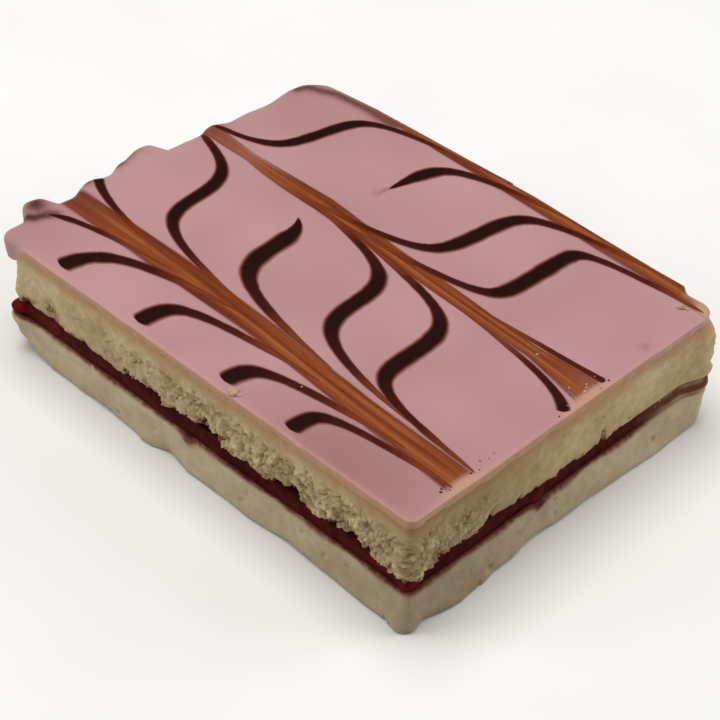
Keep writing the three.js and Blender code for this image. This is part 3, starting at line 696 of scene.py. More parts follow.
# painted light: the jam is brighter red where it bulges out and low along the band, where light reaches it
LIT_JAM_SPOTS = [  # x, y, z, brightness, wide, tall
    (-38.4, -30.6, 7.9, 0.7, 1.2, 0.7), (-33, -30.5, 7.4, 0.35, 3.5, 0.9),
    (39.6, -30.2, 6.9, 0.35, 1.8, 0.5), (40, -28.6, 7.6, 0.3, 2.5, 0.9),
    (40, -5.4, 6.8, 0.4, 1.2, 0.8), (33, -30.5, 7.0, 0.3, 3.0, 0.6), (-12, -30.5, 6.9, 0.2, 9.0, 0.5),
]


def jam_finish():
    """Wet jam: nearly black red where it is thick, painted brighter red where it bulges out into the light,
    a soft gloss.
    """
    material, tree, shader = finish("red_jam")
    place = millimetres(tree)
    depth = calculate(tree, "MULTIPLY", noise(tree, place, 1.6), 0.5)
    # painted light where the jam bulges out
    tone = calculate(tree, "ADD", depth, calculate(tree, "MULTIPLY", attribute(tree, "lit_jam"), 0.7))
    colour = ramp(tree, tone, [
        (0.15, linear(54, 15, 9)), (0.35, linear(78, 22, 13)),
        (0.65, linear(112, 20, 12)), (0.95, linear(138, 14, 8)),
    ])
    faded = calculate(tree, "MULTIPLY", attribute(tree, "thin"), 0.85)
    colour = blend(tree, faded, colour, THIN_JAM)
    colour = blend(tree, attribute(tree, "crumbed"), colour, CRUMBS_ON_JAM)
    fill(tree, shader, {
        "Base Color": colour, "Roughness": 0.45, "Specular IOR Level": 0.03,
        "Normal": bump(tree, noise(tree, place, 0.5), 0.05),
        "Subsurface Weight": 0.1, "Subsurface Radius": (1.0, 0.15, 0.1), "Subsurface Scale": 0.8 * MM,
    })
    return material


jam_heights = np.concatenate([np.arange(BASE_TOP, JAM_TOP - 0.05, ROW_STEP), [JAM_TOP]])
jam_points, jam_quads, jam_fans = layer_skin(jam_heights, jam_side, JAM_COLUMNS)
lit_jam = bulges_at(LIT_JAM_SPOTS, jam_points[:, :2], jam_points[:, 2])
thin = right_corner(jam_points, (36, 38.5), (10, 26))
off_middle = np.abs(jam_points[:, 2] - THIN_JAM_HEIGHT + 0.3 * lumps(jam_points, 2.0, 63))
crumbed = right_corner(jam_points, (36, 38.5), (16, 28)) * step(off_middle, 0.3, 1.0)
piece(
    "jam_layer", jam_points, [jam_quads, jam_fans], jam_finish(),
    replaced=["jam"], carried={"lit_jam": lit_jam, "thin": thin, "crumbed": crumbed},
)

# %% [markdown]
# ## The crumbly top layer
# The upper layer broke as it was cut. Its side is smooth and golden just below the glaze, then
# coarse crumbs of one or two millimetres stand out, and the lower edge is ragged, with notches
# where crumbs fell away over the jam, painted dark with jam that also stands for the shade in the
# gap. Cells around scattered points look much more like crumbs than plain noise does: each cell is
# a rounded lump with its own height, and a crease runs between neighbours.

# %% The ragged side
CORNER_BULGES = [  # x, y, z, out, wide, tall
    (38.8, -30, 11.5, 0.7, 3.2, 3.6), (39.8, 30.2, 12, 1.0, 3.2, 3.4), (39.6, 29.8, 16.4, 1.1, 2.6, 1.7),
    (39.6, 30, 8.8, 1.3, 3.4, 1.0), (39.6, 30, 8.5, 1.2, 3.4, 0.55), (-40, -30.4, 10.6, 0.6, 2.6, 2.4),
]
FRONT_BULGES = on_front([  # x, z, out, wide, tall
    (19.0, 15.2, 0.3, 2.2, 1.6), (36, 10.4, 0.5, 2.6, 2), (-31.4, 11.2, -0.9, 2.0, 2.2),
    (2, 9.8, -0.6, 1.9, 1.8), (17.5, 9.6, -0.7, 2, 1.6), (29.5, 10, -0.6, 1.8, 1.4),
    (14.5, 13.6, 0.4, 2.2, 1.4), (8.5, 11.0, 0.5, 1.4, 0.9), (12.2, 10.0, 0.4, 1.2, 1.0),
    (24, 14.6, 0.25, 1.3, 1.1), (24.5, 10.4, 0.35, 1.6, 0.9),
    (31.6, 12.0, 0.4, 1.1, 1.0), (37.5, 14.2, 0.3, 1.6, 1.2), (-6.6, 9.4, 0.6, 0.8, 1.2),
    (5.8, 10.0, 0.35, 0.8, 0.7), (16.8, 14.4, -0.4, 0.8, 0.8), (24.3, 12.8, -0.4, 0.9, 0.5),
    (27.8, 11.6, -0.5, 0.8, 0.9), (-2, 12.5, -0.3, 1.2, 0.7), (2, 11.8, -0.4, 1.0, 0.5),
    (10.8, 14.2, -0.25, 1.6, 0.6), (-15.6, 12.2, -0.3, 0.7, 0.7), (-33, 13.2, -0.25, 1.2, 0.8),
    (-15.4, 16.3, -0.2, 1.0, 0.6),
])
RIGHT_BULGES = on_right([  # y, z, out, wide, tall
    (-14, 9.4, -0.7, 2.4, 1.6), (-14.6, 11.4, -0.5, 0.7, 0.8), (7.2, 11.2, -0.45, 0.5, 0.9),
    (-1.8, 15.9, -0.3, 0.35, 0.3), (-26, 11, -0.35, 1.0, 0.7), (-18, 10.8, 0.35, 0.9, 0.7),
])
CRUMB_WALL = np.array([  # height, offset outwards, share of the relief
    (JAM_TOP, -0.75, 0.6), (9.3, -0.2, 1), (10.3, 0, 1), (11.4, 0.12, 1), (12.6, 0.12, 1),
    (13.9, 0.08, 1), (15.2, 0, 0.9), (16.5, -0.03, 0.6), (BISCUIT_TOP, -0.1, 0.25),
])
NOTCHES = on_front([  # x, how high the gap over the jam reaches, half width
    (-36.4, 10.4, 1.3), (-24, 9.5, 2.0), (-14.4, 10.6, 0.9), (-11, 10.1, 3.0), (-8, 10.3, 1.2),
    (-3, 9.9, 2.2), (0.6, 11.4, 0.8), (2.2, 11.6, 1.2), (5.2, 10.6, 0.9), (15.5, 9.9, 1.2),
    (18.3, 11.2, 1.2), (26.5, 10.9, 0.9), (29.4, 11.3, 0.9), (32.6, 10.8, 0.8),
]) + on_right([  # y and the same
    (-28, 9.7, 0.8), (-24.4, 10.5, 0.7), (-21.5, 9.5, 1.0), (-15, 11.0, 0.9), (-9.5, 10.4, 0.7),
    (-6, 9.4, 2.0), (0, 9.7, 2.4), (7.3, 10.9, 0.6), (11, 9.3, 2.4),
])
NOTCH_FLANK = 3.0  # how steeply the gap closes beside a notch
NOTCH_DEPTH = 0.75
SHEET_EDGE_SET_BACK = 0.7
SHEET_EDGE_SLOPE = 0.13
BACK_BULGE = (1.3, 12.0, 4.5)  # out, its height, how tall
CRUMB_SIZES = ((1.9, 81, 0.26), (1.05, 91, 0.25), (0.55, 121, 0.2))  # cell, seed, depth


def face_coarseness(flat, normal):
    """How crumbly a side is: the long near side grows coarse towards +X, +X is fairly smooth away
    from the near corner, and the sheet's own edge is the smoothest."""
    front = facing(normal, FRONT) * (0.4 + 0.6 * step(flat[..., 0], -24, 6))
    right = facing(normal, RIGHT) * (0.9 - 0.7 * step(flat[..., 1], -27, -9))
    return front + right + 0.7 * facing(normal, BACK) + 0.3 * facing(normal, SHEET_EDGE)


def ragged_edge(flat):
    """Height of the lower edge of the crumbs: a wandering line, raised by each notch and sunk to the
    jam near the right corner, where the two layers meet closely."""
    places = in_space(flat, 0.0)
    edge = JAM_TOP + 0.35 + 0.55 * lumps(places, 2.1, 71) + 0.4 * lumps(places, 0.8, 72)
    edge -= 1.8 * right_corner(flat, (36, 38.5), (13, 24))
    torn = 0.35 * lumps(places, 0.8, 73)
    for x, y, reach, wide in NOTCHES:
        across = np.hypot(flat[..., 0] - x, flat[..., 1] - y) / wide
        edge = np.maximum(edge, reach + torn - NOTCH_FLANK * np.clip(across - 0.6, 0, None))
    return edge


def crumb_relief(places):
    """Torn shortbread: rounded crumbs of three sizes, each at its own height and tilt, with cracks
    between some of them."""
    total = 0.07 * lumps(places, 0.45, 75)
    for cell, seed, depth in CRUMB_SIZES:
        bend = np.stack([lumps(places, cell, seed + k) for k in (11, 12, 13)], axis=-1)
        bent = places + 0.3 * cell * bend
        nearest, gap, owner, tilt = crumb_cells(bent, cell, seed)
        crack = (1 - step(gap, 0.0, 0.25)) * step(lumps(places, 3.4, seed + 14), -0.1, 0.5)
        total += depth * (0.8 * (owner - 0.5) + 1.35 * tilt + 0.08 * (0.5 - nearest) - 0.55 * crack)
    return total


def top_parts(flat, normal, along, z):
    """The top layer's side in three parts: the smooth form, the torn crumbs, and the notches."""
    places = in_space(flat, z)
    heights, profile, shares = CRUMB_WALL.T
    share = np.interp(z, heights, shares)
    lower = step(BISCUIT_TOP - z + 0.5 * lumps(places, 2.0, 74), 0.5, 3.8)
    coarse = waves(along, z, 3.1, 2.3, 0.25, 11) + waves(along, z, 1.5, 1.3, 0.15, 12)
    coarseness = face_coarseness(flat, normal)
    rough = step(coarseness, 0.15, 0.5)
    torn = share * lower * coarseness * (coarse + rough * crumb_relief(places))
    leaning = facing(normal, SHEET_EDGE) * (SHEET_EDGE_SET_BACK + SHEET_EDGE_SLOPE * (z - JAM_TOP))
    back_out, back_height, back_tall = BACK_BULGE
    back = back_out * facing(normal, BACK) * np.exp(-(((z - back_height) / back_tall) ** 2))
    bulges = bulges_at(CORNER_BULGES + FRONT_BULGES + RIGHT_BULGES, flat, z)
    smooth = np.interp(z, heights, profile) + bulges * share
    smooth += 0.1 * lumps(places, 4.0, 76) + 0.04 * lumps(places, 1.3, 77) + back - leaning
    notch = NOTCH_DEPTH * step(ragged_edge(flat) - z, -0.1, 0.35)
    return smooth, torn, notch


def top_side(flat, normal, along, z):
    """Offset of the top layer's side: the smooth form plus the torn crumbs, less the notches."""
    smooth, torn, notch = top_parts(flat, normal, along, z)
    return smooth + torn - notch


FINE_ROW_STEP = 0.165
top_heights = np.arange(JAM_TOP, BISCUIT_TOP - 0.1, FINE_ROW_STEP)
top_heights = np.concatenate([top_heights, [BISCUIT_TOP - 0.02, BISCUIT_TOP]])
top_points, top_quads, top_fans = layer_skin(top_heights, top_side)
print("rows up the top layer's wall:", len(top_heights))

# %% [markdown]
# Three numbers go with the top layer's mesh: how deep a point lies in the torn relief, so that
# cracks get painted shade and proud crumbs a painted highlight, how far the jam has soaked up from
# below, which in the notches and the pit also stands for their shade, and how much painted shade
# falls near the near corner. All are known where the shape is made, and would be hard to find
# again in a shader.

# %% Painted shade and highlight in the relief, and jam stains
# jam soaked further up; the spot at x = -31.6 lies in the pit and also stands for its shade
SOAK_AND_PIT_SHADE_SPOTS = on_front([(-35.6, 10.6, 0.36, 1.5, 1.2), (-31.6, 10.4, 0.4, 1.3, 1.5)])
SOAK_AND_PIT_SHADE_SPOTS += on_right([(-25, 9.6, 0.34, 2.6, 0.9), (-16.5, 9.6, 0.34, 3.2, 1.0)])


def jam_soak_and_gap_shade(points):
    """How far jam has soaked up, with painted shade: 1 in the notches, where the dark jam colour also
    stands for the shade of the gap, fading out in patches above the ragged edge, and further up in a
    few spots, of which the one in the pit also stands for the pit's shade."""
    above = points[:, 2] - ragged_edge(points[:, :2])
    spots = bulges_at(SOAK_AND_PIT_SHADE_SPOTS, points[:, :2], points[:, 2]) * (1 + 0.9 * lumps(points, 0.9, 79))
    fading = 0.55 * np.exp(-np.clip(above, 0, None) / 0.45) * (1 + 0.8 * lumps(points, 1.7, 78))
    return np.where(above < 0, np.clip(0.6 - above / 0.5, 0, 1), np.maximum(fading, spots))


def depth_in_crumbs(heights):
    """For each point of the top layer's skin how deep it lies in the torn relief. Caps count as 0."""
    torn = top_parts(*wall_places(heights, COLUMNS))[1]
    caps = np.zeros((len(CAP_SHARES), COLUMNS))
    return np.concatenate([np.concatenate([caps, -torn, caps]).ravel(), [0, 0]])


top_finish = shortbread_finish(
    "golden_shortbread", linear(170, 147, 106), linear(187, 165, 124), linear(202, 183, 144),
    golden=(linear(174, 137, 98), 15.4, 18.2), grit=0.03,
)
# painted shade near the near corner, as on the base
CORNER_SHADE_ON_TOP = [(46.0, -22.0, 18.0, 18.0, 0.4)]
# painted shade in the pit on the long near side, added to the painted shade of the cracks
PIT_SHADE = on_front([(-31.4, 11.3, 0.75, 1.9, 2.2), (-30.4, 12.6, 0.4, 0.9, 1.2)])
top_shade_and_highlight = depth_in_crumbs(top_heights) + bulges_at(PIT_SHADE, top_points[:, :2], top_points[:, 2])
piece(
    "shortbread_top", top_points, [top_quads, top_fans], top_finish,
    replaced=["top_biscuit"],
    carried={
        "jam_stain_and_gap_shade": jam_soak_and_gap_shade(top_points), "crumb_shade_and_highlight": top_shade_and_highlight, "painted_corner_shade": spots_at(CORNER_SHADE_ON_TOP, top_points),
    },
)

# %% [markdown]
# ## Crumbs
# A side that is one stretched skin can't overhang, so real little crumbs are set into it: a rough
# ball of a few dozen faces is copied a few hundred times as one array, and each copy gets its own
# lumps, squash, turn, size and place. They are joined into one mesh. Blender's particles could
# scatter them too, but an exported model would lose those.

# %% A crumb and its copies
rng = np.random.default_rng(20)


def ball(rings=4, columns=7):
    """A rough ball of radius 1: circles at latitudes from -54 to 54 degrees, closed flat at both ends."""
    latitude = np.radians(np.linspace(-54, 54, rings))[:, None]
    turn = np.linspace(0, 2 * np.pi, columns, endpoint=False)[None, :]
    flat = np.stack([np.cos(latitude) * np.cos(turn), np.cos(latitude) * np.sin(turn)], axis=-1)
    return closed_skin(in_space(flat, np.sin(latitude)))


def random_turns(count):
    """Rotation matrices from random unit quaternions."""
    q = rng.normal(size=(count, 4))
    w, x, y, z = (q / np.linalg.norm(q, axis=1, keepdims=True)).T
    return np.stack([
        1 - 2 * (y * y + z * z), 2 * (x * y - w * z), 2 * (x * z + w * y),
        2 * (x * y + w * z), 1 - 2 * (x * x + z * z), 2 * (y * z - w * x),
        2 * (x * z - w * y), 2 * (y * z + w * x), 1 - 2 * (x * x + y * y),
    ], axis=-1).reshape(count, 3, 3)


def crumbs(places, sizes):
    """One crumb at each place: the ball's points times 1 + lumps, squashed, turned, scaled and moved.
    Returns all the points and the two sets of faces, quads and triangles."""
    points, quads, fans = ball()
    count = len(places)
    shifted = points[None] * 1.1 + rng.uniform(0, 900, size=(count, 1, 3))
    radius = 1 + 0.38 * lumps(shifted, 0.9, 5) + 0.15 * lumps(shifted, 0.4, 6)
    squash = rng.uniform(0.62, 1.0, size=(count, 1, 3))
    shaped = points[None] * radius[..., None] * squash * sizes[:, None, None]
    turned = np.einsum("nij,nvj->nvi", random_turns(count), shaped)
    first = (np.arange(count) * len(points))[:, None, None]
    face_sets = [(faces[None] + first).reshape(-1, faces.shape[1]) for faces in (quads, fans)]
    return (turned + places[:, None, :]).reshape(-1, 3), face_sets


# %% Crumbs on the cut sides
FINE_OUTLINE = outline(20000)
HIGHEST_CRUMB = BISCUIT_TOP - 2.2


def on_the_side(pick, z, sunk):
    """Points of the top layer's side, picked from the fine outline, a little way inside the skin."""
    point, normal, along = (values[pick] for values in FINE_OUTLINE)
    out = top_side(point, normal, along, z) - sunk
    return in_space(point + normal * out[:, None], z)


def side_places(count, low, high):
    """Random places from low to high above the ragged edge, more of them near it. The chance that
    one is kept is coarseness^2, so they lie thick where the side is torn and thin elsewhere."""
    point, normal, _ = FINE_OUTLINE
    pick = rng.integers(0, len(point), size=count * 8)
    pick = pick[rng.random(len(pick)) < face_coarseness(point[pick], normal[pick]) ** 2][:count]
    z = ragged_edge(point[pick]) + low + (high - low) * rng.random(len(pick)) ** 1.7
    return on_the_side(pick, np.minimum(z, HIGHEST_CRUMB), 0.1)


def hollow_places(count):
    """Random places in the pit near the sheet's own edge, whose brown is painted shade: for each, the
    nearest point of the long near side, because points that face elsewhere count as 9 mm further away."""
    x, _, z, _, wide, tall = PIT_SHADE[0]
    spread = rng.normal(size=(count, 2)) * 0.45
    point, normal, _ = FINE_OUTLINE
    away = np.abs(point[:, 0] - x - wide * spread[:, :1]) + 9 * (normal[:, 1] > -0.9)
    return on_the_side(away.argmin(axis=1), z - 0.4 + tall * spread[:, 1], 0.0)


crumb_places = np.concatenate([side_places(320, -0.2, 1.2), side_places(200, 0.6, 5.0), hollow_places(14)])
crumb_sizes = rng.uniform(0.2, 0.48, len(crumb_places))
crumb_points, crumb_faces = crumbs(crumb_places, crumb_sizes)
piece(
    "side_crumbs", crumb_points, crumb_faces, top_finish, smooth=False,
    carried={
        "jam_stain_and_gap_shade": 0.8 * jam_soak_and_gap_shade(crumb_points), "crumb_shade_and_highlight": 0 * crumb_points[:, 0],
        "painted_corner_shade": spots_at(CORNER_SHADE_ON_TOP, crumb_points),
    },
)

# %% [markdown]
# ## The glaze
# The glaze was poured over the whole sheet and the slice was cut from the sheet's edge. So three
# of its sides are cut, thin and nearly upright with a softly rounded rim, and the fourth is where
# the glaze ran over in tongues that hang down. One formula gives both: the height of the surface
# depends only on the distance to the edge, through a rounded lip whose width and drop change along
# the side. The chocolate lines are laid on the same formula, so they follow the lip.

# %% The glaze's form
TONGUES = (  # y, reach past the slice: the tips of the tongues and the dips between them
    (-33, 2.8), (-30.4, 2.6), (-26.2, 2.5), (-22.5, 6.3), (-21.2, 5.9), (-19.2, 2.5), (-17.2, 2.3),
    (-13, 4.0), (-9.5, 3.05), (-6.0, 4.5), (-1.7, 5.5), (-0.5, 5.4), (1.1, 1.95), (3.5, 1.8), (7, 1.45),
    (10, 2.4), (13.2, 0.9), (15.5, 0.95), (20.5, 0.4), (25.8, 1.0), (30.5, 0.3),
)
SPILL = (  # x, reach past the slice over the back edge
    (-39, 0.2), (-35, 1.1), (-28, 1.8), (-10, 2.2), (4, 2.7), (16, 2.2), (28, 1.85), (33, 1.9), (34.6, 0.1),
)
KNOBS = [  # x, y, half size along x and y, height: drops where the glaze piled up
    (-43.6, -22.0, 1.3, 1.3, 0.55), (-42.4, -12.8, 1.0, 1.0, 0.25), (-43.2, -2.2, 1.6, 1.6, 0.3),
]
STRETCHED = 10.0  # the last 10 mm before a poured edge are stretched out to the tongues
RIM = 0.35  # width of the rounded rim on a cut side
LIP = 1.9  # width of the rounded lip on a poured side
ROUNDNESS = 2.4  # the p of the lip's rounding: 2 is a quarter of a circle, more is fuller
SKIRT = 1.0  # how far the tongues hang below the glaze
CORNER_DRIP = (-30.2, 1.6, 0.7)  # y, half width and share: the corner's tongue hangs lower
SEAT = BISCUIT_TOP - 0.02  # the underside dips this little into the shortbread


def tongue_reach(y):
    """How far the glaze reaches past the slice at the sheet's own edge, for each y: a curve that is
    level at every tongue's tip and every dip."""
    at, reach = np.transpose(TONGUES)
    k = np.clip(np.searchsorted(at, y) - 1, 0, len(at) - 2)
    share = step(y, at[k], at[k + 1])
    return reach[k] * (1 - share) + reach[k + 1] * share


def spill_reach(x):
    """How far the glaze was dragged out over the back edge, for each x."""
    return np.interp(x, *np.transpose(SPILL), left=0.2, right=0.1)


def into_the_stretch(x, y):
    """How far points lie beyond the lines near -X and near +Y where the stretched strip begins."""
    return STRETCHED - LENGTH / 2 - x, y - WIDTH / 2 + STRETCHED


def pushed_out(flat):
    """Pushes the last 10 mm before the -X and +Y edges outwards, as far as the glaze reaches there."""
    x, y = flat[..., 0], flat[..., 1]
    past_x, past_y = into_the_stretch(x, y)
    out_x = np.where(past_x > 0, x - past_x * tongue_reach(y) / STRETCHED, x)
    out_y = np.where(past_y > 0, y + past_y * spill_reach(x) / STRETCHED, y)
    return np.stack([out_x, out_y], axis=-1)


def to_edge(x, y):
    """Distance inwards from the glaze's edge. The plane is first squeezed so that the poured edges
    become straight, then it is the distance to a rectangle with rounded corners."""
    past_x, past_y = into_the_stretch(x, y)
    over_x, over_y = tongue_reach(y), spill_reach(x)
    straight_x = np.where(past_x > 0, x + past_x * over_x / (STRETCHED + over_x), x)
    straight_y = np.where(past_y > 0, y - past_y * over_y / (STRETCHED + over_y), y)
    right, back, left, near = CORNER_RADII
    radius = np.where(x > 0, np.where(y > 0, right, near), np.where(y > 0, back, left))
    dx = np.abs(straight_x) - (LENGTH / 2 - radius)
    dy = np.abs(straight_y) - (WIDTH / 2 - radius)
    outside = np.hypot(np.clip(dx, 0, None), np.clip(dy, 0, None))
    return radius - outside - np.clip(np.maximum(dx, dy), None, 0)


def poured_side(x, y):
    """1 where the edge was poured or dragged over, on -X and on +Y as far as the spill, 0 at a cut."""
    left = step(-x, LENGTH / 2 - 5, LENGTH / 2 - 0.5)
    back = step(y, WIDTH / 2 - 4, WIDTH / 2 - 0.5) * step(spill_reach(x), 0.2, 1.2)
    return np.maximum(left, back)


def glaze_height(x, y):
    """Height of the glaze: flat inside, and near the edge a quarter of a rounded lip:
    top - rise * (1 - (1 - (1 - distance / width)^p)^(1 / p)), plus knobs, slow waves and a droop."""
    poured = poured_side(x, y)
    edge = to_edge(x, y)
    reach = np.where(x < 0, tongue_reach(y), spill_reach(x))
    rise = 0.25 + poured * (0.95 + 0.3 * np.clip(reach, 0, 4))
    t = 1 - np.clip(edge / (RIM + (LIP - RIM) * poured), 0, 1)
    lip = (1 - t**ROUNDNESS) ** (1 / ROUNDNESS)
    flat = np.stack([x, y, 0 * x], axis=-1)
    slow = lumps(flat, 9.0, 101) + 0.5 * lumps(flat, 4.0, 102)
    droop = (0.26 - 0.34 * poured) * np.exp(-np.clip(edge, 0, None) / 2.4)
    return GLAZE_TOP - rise * (1 - lip) - droop + 0.035 * slow + spots_at(KNOBS, flat)


# %% The glaze's skin
GLAZE_COLUMNS = 1050
UNDER_SHARES = (0.05, 0.5, 0.8, 0.9)
DOWN_THE_SIDE = (1.0, 0.96, 0.87, 0.75, 0.6, 0.45, 0.3, 0.15, 0.04)  # 1 at the lower edge, 0 at the rim
NEAR_THE_RIM = np.array([0, 1, 2.4, 4.2, 6.5, 9.5, 13, 18, 24, 32, 42]) / 1000
TOP_SHARES = 1 - np.concatenate([NEAR_THE_RIM, np.arange(0.054, 0.99, 0.0145)])
SET_IN = 0.05  # the rim of a cut side stands this far inside the shortbread's own edge


def glaze_rows(columns):
    """Rows of the glaze: its underside, its side from the bottom up, and its top to the middle. On
    the cut sides its lower edge lies flush with the shortbread below, and a tongue's side curves
    back underneath it by tuck * (1 - (1 - down^2)^0.5)."""
    point, normal, along = outline(columns)
    edge = pushed_out(point)
    poured = poured_side(edge[:, 0], edge[:, 1])
    flush = top_side(point, normal, along, np.full(columns, BISCUIT_TOP)) * (1 - poured)
    flush += waves(along, 0 * along, 9.0, 1.0, 0.1, 21) * poured
    reach = np.where(point[:, 0] < -LENGTH / 2 + 4, tongue_reach(point[:, 1]), spill_reach(point[:, 0]))
    drip_y, drip_wide, drip_share = CORNER_DRIP
    drip = 1 + drip_share * np.exp(-(((point[:, 1] - drip_y) / drip_wide) ** 2))
    low = SEAT - poured * SKIRT * drip * np.clip(reach, 0, 2.2) / 2
    rim = glaze_height(edge[:, 0] * 0.9995, edge[:, 1] * 0.9995)
    uncut = np.clip(facing(normal, SHEET_EDGE) + facing(normal, BACK), 0, 1)
    tuck = poured * uncut * (0.9 + 0.4 * reach)
    rows = [in_space(edge * share, np.full(columns, SEAT)) for share in UNDER_SHARES]
    for down in DOWN_THE_SIDE:
        back = tuck * (1 - np.sqrt(1 - down * down))
        places = in_space(edge, rim - (rim - low) * down)
        rough = 0.09 * lumps(places, 1.3, 133) + 0.06 * lumps(places, 0.6, 134)
        out = flush - SET_IN * (1 - down) + (1 - poured) * step(down, 0.1, 0.5) * rough - back
        rows.append(places + in_space(normal * out[:, None], 0.0))
    for share in TOP_SHARES:
        fade = np.clip(1 - (1 - share) * 12, 0, 1)
        flat = pushed_out(point * share) + normal * ((flush - SET_IN) * fade)[:, None]
        rows.append(in_space(flat, glaze_height(flat[:, 0], flat[:, 1])))
    return np.stack(rows)


glaze_points, glaze_quads, glaze_fans = closed_skin(glaze_rows(GLAZE_COLUMNS))
print("rows of the glaze's top:", len(TOP_SHARES))

# %% [markdown]
# Feathering works like this: chocolate lines are piped across the wet glaze, and a comb is then
# drawn along the slice, one way and then back. Close to the comb's path the lines are dragged a
# long way, and their tails lie side by side in a streaky brown band. The bands are painted by the
# glaze's own material, from one number that says how far across a band a point lies. It is worked
# out per point here, so the streaks can fan out and narrow with the band.

# %% The combed bands
BANDS = [  # stations along x, the band's middle, its half width, how strongly it covers the pink
    (
        (-45, -40, -20, 0, 20, 38, 40), (-17.2, -17.3, -17.4, -18.0, -19.5, -20.4, -20.5),
        (2.2, 2.25, 2.4, 2.05, 2.0, 2.5, 2.5), (1, 1, 1, 1, 1, 1, 0),
    ),
    (
        (-45, -38, -31, -27, -22, -15, 0, 10, 20, 28, 38, 39.5),
        (9.2, 8.9, 8.5, 8.2, 8.1, 8.1, 7.0, 6.3, 5.6, 5.2, 4.6, 4.4),
        (1.8, 1.4, 1.1, 1.45, 1.7, 1.8, 1.5, 1.5, 1.35, 1.3, 2.6, 2.9),
        (0.72, 0.7, 0.6, 0.72, 0.9, 1, 1, 1, 1, 1, 0.66, 0.3),
    ),
    (
        (-38, -28, -18, 0, 14, 26, 33, 38.8), (31.6, 31.7, 31.6, 31.7, 31.4, 31.0, 30.6, 29.4),
        (0.5, 0.9, 1.4, 2.1, 2.3, 2.2, 2.1, 1.3), (0.2, 0.5, 0.9, 1, 1, 1, 1, 0.9),
    ),
]


def comb_marks(points):
    """For each point: how far across the nearest band (1 at its edge, never over 3), the same with
    a sign, and how strongly that band covers the pink."""
    x, y = points[:, 0], points[:, 1]
    across = np.full(len(points), 3.0)
    cover = np.zeros(len(points))
    for stations, middles, halves, covers in BANDS:
        signed = (y - np.interp(x, stations, middles)) / np.interp(x, stations, halves)
        closer = np.abs(signed) < np.abs(across)
        across = np.where(closer, signed, across)
        cover = np.where(closer, np.interp(x, stations, covers), cover)
    return np.abs(across), across, cover


# %% [markdown]
# The glaze's colour is built up in the order in which the slice was made: pink, then the combed
# bands over it, then the cut. A cut drags shortbread over the thin edge, so on the cut sides the
# pink runs out into tan below the rim.

# %% The glaze's finish
SMUDGES = [  # x, y, half size along x and y, strength: chocolate that ran thin over the tongues
    (-43.2, -22.6, 2.0, 1.6, 1.0), (-42.9, -13.2, 1.1, 0.9, 0.8), (-43.4, -6.8, 1.0, 1.6, 0.8),
    (-44.0, -4.6, 0.8, 1.8, 0.55), (-44.4, -2.0, 1.4, 1.8, 0.35), (-40.2, 9.2, 1.8, 2.6, 0.42),
    (-11.4, 16.9, 0.45, 1.4, 0.5), (-12.0, 15.6, 0.4, 0.8, 0.25), (37.9, 17.2, 0.6, 0.8, 0.4),
    (-41.0, -17.3, 9.0, 2.2, 0.55),
]
SMEARS = [  # the points that it runs through, half width, strength: chocolate dragged thin in a line
    (((-43.2, -25.6), (-42.1, -25.0), (-41.2, -24.6), (-40.9, -23.4), (-40.0, -21.8)), 1.1, 1.0),
    (((-39.6, 26.4), (-38.9, 28.0), (-36.6, 28.9), (-34.3, 29.9), (-28.5, 30.4), (-22.0, 30.1)), 1.1, 0.85),
]
WORN_SPOTS = [  # spots again, for places that the cut rubbed bare
    (36.1, 27.2, 1.5, 0.7, 0.5), (39.0, -20.3, 0.9, 3.4, 0.5), (39.2, 4.0, 0.9, 4.5, 0.5),
    (38.6, 29.4, 1.6, 1.4, 0.6),
]
# painted shade on the pink: strong near the near corner, weak at the back corner, and a faint darkening at
# the left corner
PINK_SHADE_SPOTS = [  # and for where the biscuit shows through
    (27.0, -29.0, 15.0, 10.0, 0.65), (-38.0, 25.0, 22.0, 14.0, 0.2), (-39.0, -27.0, 12.0, 9.0, 0.12),
]


def smears_at(points):
    """How strong the smears are at each point: strength * exp(-(distance to its line / half width)^2)."""
    total = np.zeros(len(points))
    for line, wide, strength in SMEARS:
        for start, end in zip(line[:-1], line[1:]):
            along = np.subtract(end, start)
            apart = points[:, :2] - start
            share = np.clip(apart @ along / (along @ along), 0, 1)
            distance = np.linalg.norm(apart - share[:, None] * along, axis=1)
            total = np.maximum(total, strength * np.exp(-((distance / wide) ** 2)))
    return total


def worn_and_lightened_rim_at(points):
    """How far the cut has rubbed the pink away: on the cut sides it grows from just below the top
    of the glaze to its lower edge, along a line that wanders and lies lower near the right corner. A
    band just inside the cut edges is also painted lighter against the shade of the rounded rim."""
    cut = 1 - poured_side(points[:, 0], points[:, 1])
    depth = GLAZE_TOP - points[:, 2] + 0.16 * lumps(points, 2.4, 131) + 0.1 * lumps(points, 0.9, 132)
    depth -= 0.5 * right_corner(points, (38, 39.5), (8, 26))
    # the band just inside a cut edge turns a little towards tan: the rub of the knife, and painted lighter
    # to offset the shade of the rounded rim
    near_edge = 0.3 * np.exp(-((np.clip(to_wall(points), 0, None) / 0.9) ** 2))
    return np.clip(cut * (step(depth, 0.2, 1.15) + near_edge) + spots_at(WORN_SPOTS, points), 0, 1)


PINK = [(0.3, linear(171, 130, 131)), (0.7, linear(180, 139, 139))]
# the colour of the painted shade on the pink
PINK_SHADE_COLOUR = linear(138, 92, 80)
COMB_BROWNS = [
    (0.34, linear(84, 30, 8)), (0.44, linear(112, 48, 14)), (0.54, linear(130, 62, 24)),
    (0.64, linear(148, 82, 40)), (0.76, linear(168, 108, 66)),
]
COMB_EDGE = linear(76, 26, 8)
THIN_CHOCOLATE = [(0.2, linear(124, 60, 44)), (0.8, linear(74, 34, 24))]
RUBBED_TAN = [(0.2, linear(188, 146, 130)), (0.6, linear(184, 143, 117)), (1.0, linear(176, 139, 102))]


